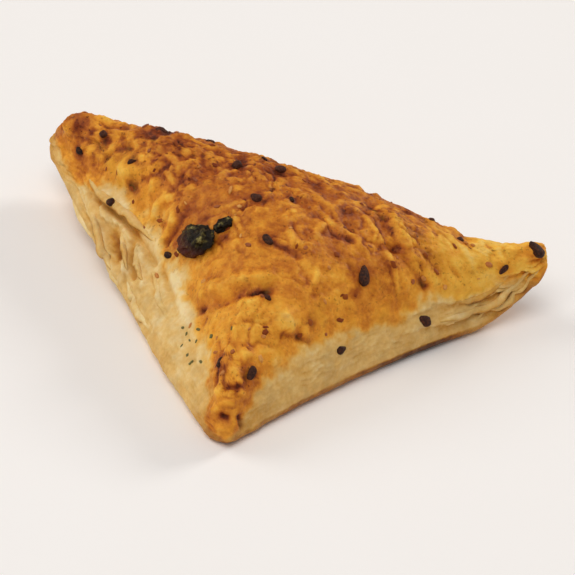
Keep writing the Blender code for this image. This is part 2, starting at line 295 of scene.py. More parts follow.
def shell_grid(shells):
    """Ring number and place round it, 0 to 1, of every node of a square grid of shells."""
    b, a = np.mgrid[-shells:shells + 1, -shells:shells + 1]
    k = np.maximum(np.abs(a), np.abs(b))
    place = np.where(a == k, b + k, np.where(b == k, 3 * k - a, np.where(a == -k, 5 * k - b, 7 * k + a)))
    place = np.where((a == k) & (b == -k), 0, place)
    return k.ravel(), (place / np.maximum(8 * k, 1)).ravel() % 1.0


def round_rim(values, place):
    """Values given at the outline's points, read between them at places 0 to 1 round it."""
    at = place * AROUND
    low = np.floor(at).astype(int)
    part = at - low
    if values.ndim > 1:
        part = part[:, None]
    return values[low % AROUND] * (1 - part) + values[(low + 1) % AROUND] * part


shell, place_round = shell_grid(SHELLS)
side = 2 * SHELLS + 1
s = shell / SHELLS
rim_there = round_rim(rim, place_round)
height_there = round_rim(rim_height, place_round)
plan = DOME_CENTRE + (rim_there - DOME_CENTRE) * s[:, None]
full = np.clip(fullness(plan) - fullness(rim_there) * s ** 4, 0, None) ** DOME_SHOULDER
base = rim_height.mean() + (height_there - rim_height.mean()) * s ** 2
crust_points = np.c_[plan, base + (DOME_HEIGHT - base) * full + curl(plan)]
at = np.arange(side * side).reshape(side, side)
crust_faces = np.stack([at[:-1, :-1], at[:-1, 1:], at[1:, 1:], at[1:, :-1]], -1).reshape(-1, 4)
edge_nodes = np.flatnonzero(shell == SHELLS)
edge_nodes = edge_nodes[np.argsort(place_round[edge_nodes])]

rings = []
ring_kind = []
for step in range(1, WALL_RINGS + 1):
    share = step / WALL_RINGS
    ring = rim + outward * (inset * math.sin(share * math.pi / 2) ** WALL_LEAN)[:, None]
    rings.append(np.c_[ring, FOOT_RADIUS + (rim_height - FOOT_RADIUS) * (1 - share) + curl(ring)])
    ring_kind.append((1, share))
for step in range(1, FOOT_RINGS + 1):
    a = step / FOOT_RINGS * math.pi / 2
    ring = outline - outward * FOOT_RADIUS * (1 - math.cos(a))
    rings.append(np.c_[ring, FOOT_RADIUS * (1 - math.sin(a)) + curl(ring)])
    ring_kind.append((2, step / FOOT_RINGS))
for step in range(1, UNDERSIDE_RINGS + 1):
    share = 1 - step / (UNDERSIDE_RINGS + 1)
    ring = DOME_CENTRE + (outline - outward * FOOT_RADIUS - DOME_CENTRE) * share
    rings.append(np.c_[ring, np.maximum(curl(ring) - UNDERSIDE_PRESS, 0)])
    ring_kind.append((3, share))

first_ring = len(crust_points)
ids = np.vstack([edge_nodes, first_ring + np.arange(len(rings) * AROUND).reshape(len(rings), AROUND)])
wall_faces = join_rings(ids)
pole = first_ring + len(rings) * AROUND
fan_faces = np.stack([ids[-1], np.full(AROUND, pole), np.roll(ids[-1], -1)], -1)
skin = np.vstack([crust_points, np.concatenate(rings), [[*DOME_CENTRE, 0.0]]])
quads = np.vstack([crust_faces, wall_faces])

zone = np.r_[np.zeros(len(crust_points)), np.repeat([k for k, _ in ring_kind], AROUND), 3]
share_in_zone = np.r_[s, np.repeat([share for _, share in ring_kind], AROUND), 0]
nearest_column = (place_round * AROUND).round().astype(int) % AROUND
skin_edge = np.r_[edge[nearest_column], np.tile(edge, len(rings)), 0]
skin_t = np.r_[round_rim(edge_share, place_round), np.tile(edge_share, len(rings)), 0]
on_top = zone == 0
wall_ends = np.minimum(1, 4 * (1 - share_in_zone)) * np.minimum(1, 3 * share_in_zone)
wall_fade = np.where(zone == 1, wall_ends, 0)
print("skin:", len(skin), "points,", 2 * len(quads) + len(fan_faces), "triangles")


# %% Normals of any grid of faces
def point_normals(points, four_sided, three_sided):
    """At each point the sum of its faces' area vectors, at length 1."""
    total = np.zeros_like(points)
    corners = points[four_sided]
    area = np.cross(corners[:, 2] - corners[:, 0], corners[:, 3] - corners[:, 1])
    for i in range(4):
        np.add.at(total, four_sided[:, i], area)
    corners = points[three_sided]
    area = np.cross(corners[:, 1] - corners[:, 0], corners[:, 2] - corners[:, 0])
    for i in range(3):
        np.add.at(total, three_sided[:, i], area)
    return unit(total)


def spread_mean(values, faces, passes):
    """Each pass replaces a value by the mean over the corners of the faces round its point."""
    corners = faces.ravel()
    count = np.maximum(np.bincount(corners, minlength=len(values)), 1)
    for _ in range(passes):
        mean = np.repeat(values[faces].mean(1), 4)
        total = np.bincount(corners, weights=mean, minlength=len(values))
        values = np.where(total != 0, total / count, values)
    return values


# %% Round the rim over, as rising dough does
RIM_PASSES = 60
RIM_ROUNDING = 2.4 * MM
LIP_KEPT = 0.75
LIP_MIDDLE = 0.62
LIP_REACH = 0.25
on_crust = (1 - s) * away_from(rim_there, DOME_CENTRE)
rim_away = np.r_[on_crust, np.zeros(len(skin) - len(s))]
wall_length = np.r_[np.zeros(len(s)), np.tile(np.hypot(rim_height, inset), len(rings)), 0]
rim_away = np.where(zone == 1, -share_in_zone * wall_length, rim_away)
rim_away = np.where(zone >= 2, -wall_length, rim_away)
lip = LIP_KEPT * np.exp(-((skin_t - LIP_MIDDLE) / LIP_REACH) ** 4) * (skin_edge == 2)
rounding = bell(rim_away, RIM_ROUNDING) * (1 - lip) * (zone < 2)
rounded = np.stack([spread_mean(skin[:, i], quads, RIM_PASSES) for i in range(3)], 1)
smooth_skin = skin + (rounded - skin) * rounding[:, None]
skin_normal = point_normals(smooth_skin, quads, fan_faces)
skin_tree = BVHTree.FromPolygons(smooth_skin.tolist(), quads.tolist() + fan_faces.tolist())
print("normals point out:", bool((skin_normal[on_top, 2] > 0).mean() > 0.99))

# %% [markdown]
# ## Soft lumps and creases
#
# Where the filling presses from inside, the crust swells, and where it was pinched, it creases.
# These are the same lumps as on the solid, drawn from the same seed, so the two agree.

# %% Lumps and creases of the solid
LUMPS = 70
LUMP_RADII = (2.2 * MM, 5.5 * MM)
LUMP_HEIGHT = 0.55 * MM
CREASES = [
    (-17.0, -22.6, -13.2, -24.4, 1.5, 0.6),
    (-13.2, -24.4, -6.0, -23.0, 1.4, 0.5),
    (9.0, -1.5, 12.7, -9.3, 1.6, 0.6),
    (12.7, -9.3, 19.5, -11.0, 1.5, 0.5),
    (-30.0, 12.0, -24.0, 3.0, 1.6, 0.4),
    (-3.0, -6.5, 5.0, -9.5, 1.6, 0.4),
]


def crust_relief(points, rng):
    """Sum of bells, height times e^-(distance / radius)^2, less the same profile along creases."""
    flat = points[:, :2]
    height = np.zeros(len(points))
    for _ in range(LUMPS):
        middle = rng.uniform(TIPS.min(0), TIPS.max(0))
        radius = rng.uniform(*LUMP_RADII)
        size = rng.uniform(-1, 1) * LUMP_HEIGHT
        height += size * bell(away_from(flat, middle), radius)
    for x0, y0, x1, y1, width, depth in CREASES:
        away = path_distance(np.c_[flat, np.zeros(len(flat))], mm([(x0, y0, 0), (x1, y1, 0)]))[0]
        height -= depth * MM * bell(away, width * MM)
    return height


def path_distance(points, path):
    """Distance of each point from a path of straight pieces, and how far along it, 0 to 1."""
    best = np.full(len(points), np.inf)
    along = np.zeros(len(points))
    for i in range(len(path) - 1):
        run = path[i + 1] - path[i]
        t = np.clip((points - path[i]) @ run / max(run @ run, 1e-18), 0, 1)
        away = away_from(points, path[i] + t[:, None] * run)
        nearer = away < best
        best[nearer] = away[nearer]
        along[nearer] = (i + t[nearer]) / (len(path) - 1)
    return best, along


lumps = crust_relief(smooth_skin, np.random.default_rng(FORM_SEED))
move = np.where(on_top, lumps * (1 - share_in_zone ** 8), 0)
print("lumps and creases, mm:", (move.min() / MM).round(2), "to", (move.max() / MM).round(2))

# %% [markdown]
# ## Strands of grated cheese, melted into the crust
#
# Grated cheese was strewn on the dough and sank in as it melted, so strands lie over each other
# as low rounded ridges with dark gaps between. Loose tubes laid on top would look like noodles;
# here each strand lifts the skin itself by a rounded profile, and where it crosses another it
# rides up on it. They lie thick on the ridge and near the left tip, and on the right slope they
# run long and side by side down to the edge.

# %% Where the strands lie
strand_rng = np.random.default_rng(STUDIO_SEED)
# Each field: how many, middle and spread in mm, heading and its spread in degrees,
# shortest and longest in mm, half width and height in mm
STRAND_FIELDS = [
    (40, (-25.0, 8.0), (9.0, 7.0), 20, 90, 1.4, 3.4, 0.75, 0.62),
    (40, (-7.0, 3.0), (12.0, 5.0), 10, 90, 1.4, 3.6, 0.75, 0.55),
    (26, (-8.0, -9.0), (12.0, 7.0), -20, 90, 2.2, 5.5, 0.80, 0.36),
    (15, (16.0, -5.5), (6.5, 5.0), -50, 16, 6.0, 11.0, 0.75, 0.60),
    (22, (22.0, 0.0), (7.0, 4.0), -35, 50, 2.0, 5.0, 0.60, 0.50),
    (30, (-10.0, -29.0), (5.5, 7.5), 70, 60, 1.6, 4.5, 0.75, 0.42),
    (10, (-11.5, -39.5), (2.4, 2.6), 70, 90, 1.4, 2.4, 0.70, 0.60),
    (10, (-35.0, 18.0), (3.0, 4.0), 60, 90, 1.4, 2.6, 0.70, 0.70),
    (50, (0.0, 9.0), (18.0, 4.0), 0, 90, 1.4, 4.0, 0.70, 0.55),
]


def skin_below(flat):
    """Place on the smooth skin straight below a plan point, or None off the crust."""
    hit = skin_tree.ray_cast(Vector((flat[0], flat[1], 0.1)), Vector((0, 0, -1)))[0]
    return None if hit is None else np.array(hit)


def strand_path(middle, heading, length, bend, steps=5):
    """Points over the skin along a plan curve whose heading turns evenly by bend."""
    path = []
    flat = np.array(middle) - length / 2 * np.array([math.cos(heading), math.sin(heading)])
    turn = heading - bend / 2
    for _ in range(steps + 1):
        spot = skin_below(flat)
        if spot is None:
            return None
        path.append(spot)
        flat = flat + length / steps * np.array([math.cos(turn), math.sin(turn)])
        turn += bend / steps
    return np.array(path)


MOST_BEND = 0.9
strands = []
for count, middle, spread, heading, swing, short, long, half_width, height in STRAND_FIELDS:
    for _ in range(count):
        start = np.array(middle) + strand_rng.normal(size=2) * np.array(spread)
        turn = math.radians(heading + strand_rng.uniform(-swing, swing))
        size = strand_rng.uniform(short, long) * MM
        path = strand_path(start * MM, turn, size, strand_rng.uniform(-MOST_BEND, MOST_BEND))
        width = half_width * MM * strand_rng.uniform(0.75, 1.25)
        high = height * MM * strand_rng.uniform(0.6, 1.3)
        if path is not None:
            strands.append((path, width, high))
print("strands on the crust:", len(strands))


# %% Lift the skin by its strands
def lay_strands(points, rows):
    """Height of overlapping strands: each has the profile high * (1 - (d / width)^2)^0.7, thinned
    to its ends, and adds that on top of half of what lies under it. Also how near a point is to
    the crown of a strand, 1 on it, and the strand's own tint, -1 to 1."""
    height = np.zeros(len(points))
    crown = np.zeros(len(points))
    own = np.zeros(len(points))
    rng = np.random.default_rng(STUDIO_SEED)
    for path, width, high in rows:
        tint = rng.uniform(-1, 1)
        middle = path.mean(0)
        near = np.flatnonzero(away_from(points, middle) < away_from(path, middle).max() + width)
        away, along = path_distance(points[near], path)
        taper = 0.55 + 0.45 * np.sin(math.pi * np.clip(along, 0.02, 0.98))
        inside = np.clip(1 - (away / (width * taper)) ** 2, 0, 1)
        lifted = 0.5 * height[near] + high * taper * inside ** 0.7
        on = inside > 0
        height[near[on]] = np.maximum(height[near[on]], lifted[on])
        crown[near[on]] = np.maximum(crown[near[on]] * 0.7, inside[on])
        share = np.clip(2.5 * inside, 0, 1)
        own[near] = own[near] * (1 - share) + tint * share
    return height, crown, own


# Drops of cheese that melted round: how many, middle and spread, radius and height, all in mm
DROP_FIELDS = [
    (95, (-26.0, 9.0), (9.0, 6.5), 1.15, 0.80),
    (80, (-7.0, 4.0), (13.0, 4.5), 1.05, 0.70),
    (34, (-6.0, -16.0), (12.0, 12.0), 1.15, 0.42),
    (30, (-11.5, -38.5), (2.8, 3.8), 1.25, 1.25),
    (22, (-36.5, 19.0), (2.5, 3.5), 1.35, 1.15),
    (34, (17.0, 0.0), (9.0, 4.5), 0.95, 0.50),
]
DROP_LENGTH = 0.6 * MM
MELT_PASSES = 5
CHEESE_PASSES = 40
SUNK_IN = 0.25 * MM
for count, middle, spread, radius, height in DROP_FIELDS:
    for _ in range(count):
        start = np.array(middle) + strand_rng.normal(size=2) * np.array(spread)
        path = strand_path(start * MM, strand_rng.uniform(0, math.pi), DROP_LENGTH, 0.0, steps=1)
        if path is not None:
            width = radius * MM * strand_rng.uniform(0.6, 1.4)
            strands.append((path, width, height * MM * strand_rng.uniform(0.5, 1.2)))

strand_height, strand_crown, strand_tint = lay_strands(smooth_skin, strands)
strand_height = spread_mean(strand_height, quads, MELT_PASSES)
rim_fade = ease(rim_away / MM, -1.0, 1.6)
strand_height *= rim_fade
strand_crown *= rim_fade
cheesy = np.clip(spread_mean(ease(strand_height / MM, 0.0, 0.25), quads, CHEESE_PASSES), 0, 1)
move = move + strand_height - SUNK_IN * on_top * rim_fade
print("strands and drops:", len(strands), "lifting by up to", (strand_height.max() / MM).round(2), "mm")

# %% [markdown]
# ## Folds that make this samosa itself
#
# A few folds can be told apart: the ridge and groove above the front tip, the creases that run
# down the right slope, the crust's lip over the left wall, and the hollows under it. Each is a
# path on the skin, with a bell profile across it: positive for a ridge, negative for a groove.

# %% Ridges and grooves
# Each fold: points in mm, half width in mm, height in mm, and how much it darkens, -1 to 1: partly where the
# crust browns, partly painted shade in grooves and painted light on ridges
FOLDS = [
    ([(-16.9, -21.9, 10.3), (-14.3, -23.9, 12.8), (-11.2, -24.8, 15.7), (-6.4, -24.3, 17.4)],
     0.55, -1.30, 0.40),
    ([(-14.3, -23.9, 12.8), (-16.3, -24.9, 9.8)], 0.60, -0.55, 0.18),
    ([(-16.6, -20.2, 12.4), (-11.5, -22.4, 16.9), (-6.6, -22.2, 18.5)], 1.00, 0.95, -0.06),
    ([(10.8, -4.5, 18.3), (13.6, -9.2, 15.6), (18.8, -11.2, 11.0)], 0.50, -1.15, 0.32),
    ([(12.4, -3.4, 17.8), (15.4, -7.9, 15.5), (20.3, -10.0, 11.4)], 0.85, 0.55, -0.12),
    ([(8.8, -5.6, 18.9), (11.6, -10.5, 16.2), (15.6, -13.2, 12.4)], 0.85, 0.45, -0.02),
    ([(15.3, -1.8, 17.0), (19.5, -5.2, 14.6), (24.3, -7.3, 10.8)], 0.45, -0.60, 0.16),
    ([(1.5, -12.1, 20.3), (6.0, -11.8, 19.1)], 0.50, -0.50, 0.16),
    ([(-6.2, -15.9, 20.9), (-2.2, -17.8, 19.6)], 0.55, -0.50, 0.20),
    ([(12.9, -13.3, 14.6), (14.6, -15.4, 10.4)], 0.45, -0.30, 0.04),
    ([(-18.4, -3.4, 18.7), (-20.6, -5.6, 15.1), (-22.3, -6.4, 11.4)], 0.50, -0.90, 0.28),
    ([(-20.1, -2.6, 18.0), (-22.2, -4.8, 14.4), (-23.6, -5.4, 11.2)], 0.80, 0.60, -0.10),
    ([(-3.4, -27.4, 14.4), (-2.9, -28.0, 13.9)], 1.20, 0.95, -0.20),
    ([(-4.8, -29.6, 12.7), (-2.4, -29.4, 12.5)], 0.55, -0.70, 0.24),
    ([(-1.1, -28.5, 11.7), (0.6, -27.8, 10.1)], 0.45, -0.50, 0.16),
    ([(-30.0, 8.7, 14.5), (-28.9, 8.0, 14.9)], 1.60, 1.35, -0.20),
    ([(-27.9, 5.4, 13.6), (-28.6, 6.2, 13.2)], 1.00, -0.70, 0.34),
    ([(-32.8, 12.4, 14.0), (-31.6, 12.6, 15.8), (-28.6, 11.1, 17.2)], 0.50, -0.70, 0.22),
    ([(-31.2, 17.8, 16.4), (-29.6, 17.0, 16.9)], 1.60, 0.80, -0.04),
    ([(-38.4, 21.4, 13.6), (-36.7, 21.0, 15.0)], 1.30, 0.90, 0.02),
    ([(-40.2, 18.2, 12.2), (-39.0, 17.8, 12.8)], 1.20, 0.70, -0.10),
    ([(-35.6, 18.6, 14.9), (-34.4, 14.6, 14.4)], 0.50, -0.70, 0.22),
    ([(-35.4, 12.8, 9.6), (-33.2, 8.9, 9.9), (-30.3, 5.2, 10.6), (-27.2, 1.0, 10.9), (-24.2, -4.6, 10.4),
      (-22.3, -9.2, 9.9)], 0.75, 0.75, -0.05),
    ([(-34.9, 10.0, 8.4), (-31.6, 5.2, 9.0), (-28.2, 0.4, 9.2), (-26.2, -3.4, 8.9), (-24.2, -7.8, 8.6)],
     0.45, -0.95, 0.20),
    ([(-36.0, 12.0, 6.6), (-33.8, 8.6, 6.4), (-32.6, 5.2, 5.2)], 0.40, -0.80, 0.22),
    ([(-30.6, 1.6, 6.6), (-29.8, -2.5, 5.9)], 0.90, -2.10, 0.76),
    ([(-27.6, -1.9, 8.0), (-27.5, -5.5, 6.3), (-27.2, -7.9, 5.6)], 0.50, -1.40, 0.44),
    ([(-29.3, 1.9, 7.9), (-28.6, -2.4, 7.1), (-28.5, -6.0, 5.2)], 0.55, 0.95, -0.16),
    ([(-26.4, -2.8, 8.4), (-26.1, -6.6, 7.0), (-25.4, -10.4, 5.8)], 0.50, 0.80, -0.16),
    ([(-21.4, -10.5, 9.8), (-20.0, -16.5, 8.8), (-18.9, -22.5, 8.2)], 0.90, 0.45, -0.22),
    ([(-25.6, -4.4, 8.0), (-24.9, -8.4, 6.8), (-24.4, -11.6, 5.6)], 0.35, -0.80, 0.30),
    ([(-33.4, 5.0, 7.0), (-31.9, 0.2, 5.6), (-30.6, -4.4, 3.9)], 0.60, 0.80, -0.06),
    ([(-34.4, 5.4, 5.0), (-32.6, 0.4, 3.6), (-31.0, -4.8, 2.4)], 0.40, -0.70, 0.26),
    ([(-29.0, -7.2, 4.2), (-27.4, -11.8, 3.6), (-25.6, -16.0, 3.0)], 0.45, -0.60, 0.20),
    ([(-24.6, -9.8, 7.6), (-22.6, -14.8, 6.2), (-20.9, -20.4, 4.7)], 0.45, -0.65, 0.16),
    ([(-22.6, -10.4, 8.6), (-20.8, -15.6, 7.8), (-19.6, -19.8, 7.0)], 0.40, -0.45, 0.10),
    ([(-19.0, -20.8, 7.6), (-17.6, -27.0, 6.6), (-16.0, -33.6, 6.2)], 0.55, -0.30, 0.08),
    ([(-22.0, -22.0, 3.2), (-20.0, -28.6, 3.4), (-17.6, -35.0, 3.0)], 0.45, -0.30, 0.08),
    ([(-27.5, 15.0, 18.4), (-24.0, 13.0, 20.0), (-20.5, 10.8, 21.0)], 1.90, 0.85, 0.00),
    ([(-38.4, 21.2, 13.8), (-36.4, 20.6, 15.4), (-34.0, 19.4, 16.2)], 1.90, 0.75, 0.00),
    ([(-39.3, 20.4, 13.6), (-38.9, 20.0, 13.8)], 0.75, 0.80, -0.24),
    ([(-36.9, 22.4, 14.8), (-36.4, 22.2, 15.0)], 0.70, 0.80, -0.22),
    ([(-37.9, 20.4, 14.9), (-37.4, 20.2, 15.1)], 0.60, 0.60, -0.20),
    ([(-12.6, -41.2, 7.0), (-11.6, -40.8, 7.2)], 1.20, 0.80, -0.10),
    ([(-12.4, -41.9, 5.2), (-11.6, -41.8, 5.0)], 0.60, -0.90, 0.26),
    ([(-12.2, -42.2, 3.1), (-11.3, -42.1, 3.0)], 1.00, 0.70, -0.10),
    ([(-9.4, -41.6, 5.0), (-9.0, -41.3, 3.2)], 0.45, -1.00, 0.34),
    ([(-11.8, -39.4, 8.7), (-10.6, -39.2, 8.7)], 0.60, -0.60, 0.18),
    ([(38.4, -0.4, 8.8), (36.4, -1.6, 6.3), (33.8, -4.0, 3.9), (31.0, -6.2, 2.2)], 1.00, 0.15, 0.30),
]


def fold_relief(points, folds):
    """Sum over folds of height * e^-(distance / half width)^1.6, and the darkening with it: partly where the
    fold browned, partly painted shade in grooves and painted light on ridges.
    """
    height = np.zeros(len(points))
    brown = np.zeros(len(points))
    for path, half_width, high, darkens_by in folds:
        away = path_distance(points, mm(path))[0]
        height += high * MM * np.exp(-(away / (half_width * MM)) ** 1.6)
        brown += darkens_by * bell(away, 1.25 * half_width * MM)
    return height, brown


CALM_IN_GROOVES = 0.75
# The folds darken the colour partly where the crust browned, and partly as painted shade in the grooves and
# painted light on the ridges
fold_height, fold_bake_and_shade = fold_relief(smooth_skin, FOLDS)
calm = 1 - CALM_IN_GROOVES * ease(-fold_height / MM, 0.15, 0.6)
move = np.where(on_top, move * calm, move) + fold_height
print("folds:", len(FOLDS), "paths")

# %% [markdown]
# ## Layers on the walls
#
# Puff pastry is hundreds of sheets of dough with fat between. At a cut or torn edge they open
# into ledges. A saw-tooth of the height makes a ledge: it steps back sharply, then comes out
# again slowly. Letting noise bend the height first keeps the layers from looking like a thread.

# %% Ledges
LEDGE_PITCH = 2.9 * MM
LEDGE_DEPTH = 0.75 * MM
LAYER_PITCH = 0.85 * MM
LAYER_DEPTH = 0.26 * MM


def saw(x):
    """0 to 1 along each whole step of x, squared so that it comes out slowly."""
    step = x % 1.0
    return np.clip(step / 0.8, 0, 1) ** 2 * (step < 0.985)


# How far the layers stand open everywhere, near the left and right tips, and along the back
OPEN_ALL, OPEN_LEFT, OPEN_RIGHT, OPEN_BACK = 0.12, 0.55, 1.0, 0.8
near_left = bell(skin_t - 0.27, 0.20) * (skin_edge == 2)
near_right = bell(skin_t - 0.85, 0.18) * (skin_edge == 0)
at_back = np.sin(math.pi * skin_t) ** 0.5 * (skin_edge == 1)
openness = OPEN_ALL + OPEN_LEFT * near_left + OPEN_RIGHT * near_right + OPEN_BACK * at_back
wander = 0.6 * np.sin(7 * skin_t + 2 * skin_edge) + 0.25 * np.sin(19 * skin_t + skin_edge)
bend = layered_noise(smooth_skin, size=6.0 * MM, layers=3, seed=31)
layer_bend = lattice_noise(smooth_skin, size=9.0 * MM, seed=41)
layer_bend += 0.5 * lattice_noise(smooth_skin, size=2.4 * MM, seed=42)
layer_show = 0.25 + 0.75 * ease(lattice_noise(smooth_skin, size=4.0 * MM, seed=43), -0.2, 0.5)
z = smooth_skin[:, 2]
ledges = saw(z / LEDGE_PITCH + wander + 0.30 * bend) * openness
layers = saw(z / LAYER_PITCH + 1.3 * layer_bend) * layer_show * (0.35 + openness)
move = move - wall_fade * (LEDGE_DEPTH * ledges + LAYER_DEPTH * layers)
layer_line = wall_fade * (layers + 0.8 * ledges)
print("ledges step back by up to", (LEDGE_DEPTH * (ledges * wall_fade).max() / MM).round(2), "mm")

# %% Cracks where the crust shrank round its lumps
# A crack runs where a noise passes through 0, and shows only in some places
CRACK_DEPTH = 0.40 * MM
CRACK_WIDTH = 0.15
crack_noise = lattice_noise(smooth_skin, size=4.0 * MM, seed=91)
crack_noise += 0.35 * lattice_noise(smooth_skin, size=1.6 * MM, seed=93)
crack_show = ease(lattice_noise(smooth_skin, size=7.0 * MM, seed=92), -0.25, 0.35)
crack_show *= (0.40 + 0.60 * cheesy) * on_top * ease(rim_away / MM, 0.5, 3.0)
cracks = bell(crack_noise, CRACK_WIDTH) * crack_show
move = move - CRACK_DEPTH * cracks
print("cracks over", (cracks > 0.5).mean().round(3), "of the skin")

# %% Grain of the crust and of the walls
# Heights of the grain, of the knobs at the tips, and of the left wall's belly near its foot
CRUST_GRAIN, CHEESE_GRAIN, WALL_GRAIN = mm([0.12, 0.20, 0.15])
CRUST_KNOBS, WALL_KNOBS, BELLY = mm([1.2, 1.0, 0.7])
TIP_REACH = 7.0 * MM
grain = layered_noise(smooth_skin, size=2.2 * MM, layers=4, seed=51, fade=0.66)
wall_grain = layered_noise(smooth_skin * [1, 1, 1.6], size=3.2 * MM, layers=4, seed=61, fade=0.62)
knobs = np.clip(lattice_noise(smooth_skin, size=2.2 * MM, seed=71), 0, 1) ** 1.5
tip_near = sum(bell(away_from(smooth_skin[:, :2], tip), TIP_REACH) for tip in TIPS)
on_dome = (CRUST_GRAIN + CHEESE_GRAIN * cheesy) * grain + CRUST_KNOBS * knobs * tip_near
on_walls = WALL_GRAIN * wall_grain + WALL_KNOBS * knobs * tip_near
low_down = (zone == 1) * ease(share_in_zone, 0.3, 0.9) + (zone == 2) * (1 - share_in_zone)
on_walls += BELLY * bell(skin_t - 0.76, 0.15) * (skin_edge == 2) * low_down
grain_move = np.where(on_top, on_dome, on_walls)
move = move + grain_move * np.choose(zone.astype(int), (1.0, 1.0, 0.5, 0.0))
raised = smooth_skin + skin_normal * move[:, None]
raised[:, 2] = np.maximum(raised[:, 2], 0)
print("grain moves the skin by", (np.abs(grain_move).max() / MM).round(2), "mm at most")

# %% [markdown]
# ## Hollows and crowns
#
# Hollows are painted darker, partly for the fat and spice that collect there and partly as painted shade,
# and crowns are painted lighter, as a painted highlight. Both need to know where the skin stands above or
# below its surroundings: the move of each point is compared with the mean of its neighbours' moves, spread a
# few steps outwards.

# %% Height against the surroundings
STAND_PASSES = 14
STAND_UNIT = 0.22 * MM
stand = np.clip((move - spread_mean(move, quads, STAND_PASSES)) / STAND_UNIT, -1.5, 1.5)
print("share of hollows:", (stand < -0.5).mean().round(2), "crowns:", (stand > 0.5).mean().round(2))

# %% [markdown]
# ## How far each place is baked
#
# The colour of a crust follows one thing, how far it has baked: cream dough turns straw, gold, tan,
# orange-brown and at last dark brown. So one number per point is worked out, from broad patches that this
# samosa shows, its browned rims, painted shade in its hollows and between its strands, a painted highlight
# on its crowns, and noise, and the material turns that number into colour. A second number tells how yellow
# or how red the place is.

# %% Patches
# Each patch: middle in mm, radius in mm, baking 0 to 1, and warmth -1 yellow to 1 red
PATCHES = [
    ((-37.6, 21.4, 14.5), 2.0, 0.70, 0.9),
    ((-40.0, 19.5, 12.5), 2.6, 0.62, 0.2),
    ((-37.5, 15.5, 11.0), 3.0, 0.52, 0.0),
    ((-31.0, 17.0, 16.5), 3.6, 0.57, -0.1),
    ((-30.0, 8.0, 14.8), 3.6, 0.46, -0.5),
    ((-36.8, 12.5, 7.8), 3.5, 0.58, 0.0),
    ((-23.5, 12.0, 19.6), 4.5, 0.72, 0.5),
    ((-18.0, 6.0, 21.0), 6.0, 0.66, 0.6),
    ((-25.5, -1.0, 13.0), 3.5, 0.42, -0.1),
    ((-10.0, 2.5, 21.8), 6.5, 0.66, 0.7),
    ((-1.0, 2.5, 21.0), 6.0, 0.66, 0.5),
    ((-17.0, -4.5, 19.0), 4.5, 0.60, 0.5),
    ((-17.0, -15.5, 15.5), 3.5, 0.46, 0.0),
    ((-8.0, -9.0, 22.0), 6.0, 0.57, 0.3),
    ((2.0, -8.0, 20.5), 5.0, 0.58, 0.5),
    ((7.5, -14.0, 17.5), 5.0, 0.56, 0.3),
    ((5.4, -18.6, 15.7), 4.0, 0.38, 0.1),
    ((-1.0, -18.0, 19.2), 6.0, 0.55, 0.1),
    ((-9.0, -21.0, 18.3), 5.5, 0.54, 0.1),
    ((-9.5, -30.0, 14.0), 5.5, 0.38, -0.1),
    ((-6.0, -33.5, 11.2), 4.5, 0.45, 0.1),
    ((-12.0, -38.0, 9.0), 3.5, 0.52, 0.2),
    ((-12.3, -41.8, 3.8), 2.6, 0.60, 0.2),
    ((11.5, -3.0, 18.0), 4.5, 0.64, 0.1),
    ((17.0, -6.0, 15.0), 5.0, 0.52, -0.2),
    ((23.5, -5.5, 12.5), 4.5, 0.28, -0.6),
    ((29.5, -2.0, 11.5), 4.5, 0.20, -0.5),
    ((9.0, 4.0, 17.8), 5.0, 0.64, 0.2),
    ((20.0, 4.0, 13.5), 5.0, 0.62, 0.0),
    ((36.0, 0.0, 11.0), 3.5, 0.28, -0.1),
    ((3.0, -24.0, 12.0), 4.0, 0.50, -0.2),
    ((11.0, -18.6, 10.0), 4.5, 0.56, -0.1),
    ((16.0, -14.5, 10.0), 4.0, 0.50, -0.3),
    ((-20.0, 14.0, 14.0), 6.0, 0.60, 0.2),
    ((0.0, 10.0, 14.0), 8.0, 0.58, 0.1),
]
FAR_BAKING = 0.58
FAR_WEIGHT = 1e-4


def blend_patches(points, rows):
    """Mean of the patches' baking and warmth, each weighted by e^-(distance / radius)^2."""
    weight = np.full(len(points), FAR_WEIGHT)
    baking = np.full(len(points), FAR_WEIGHT * FAR_BAKING)
    warmth = np.zeros(len(points))
    for middle, radius, baked, warm in rows:
        near = bell(away_from(points, mm(middle)), radius * MM)
        weight += near
        baking += near * baked
        warmth += near * warm
    return baking / weight, warmth / weight


# How much each of these darkens the crust, on the scale of baking, 0 to 1
DARKER = {"wide": 0.05, "spots": 0.06, "hollows": 0.07, "gaps": 0.13, "crowns": -0.12, "tint": 0.09,
          "cracks": 0.22, "seeds": 0.34, "flakes": 0.24}
baking, warmth = blend_patches(smooth_skin, PATCHES)
wide = layered_noise(smooth_skin, size=5.0 * MM, layers=3, seed=81)
spots = layered_noise(smooth_skin, size=1.9 * MM, layers=3, seed=84)
# Painted shade: gaps between strands and hollows are darkened, the hollows partly also for fat and spice;
# painted highlight: crowns of strands and lumps are lightened
gaps = cheesy * (1 - np.clip(1.4 * strand_crown, 0, 1))
at_tips = np.clip(tip_near, 0, 1)
baking = baking + fold_bake_and_shade + DARKER["wide"] * wide + DARKER["spots"] * spots
baking += (DARKER["gaps"] * gaps - DARKER["hollows"] * stand) * (1 + at_tips)
baking += DARKER["crowns"] * cheesy * strand_crown + DARKER["tint"] * strand_tint
baking += DARKER["cracks"] * cracks
print("gaps between strands:", (gaps > 0.5).mean().round(2), "of the skin")

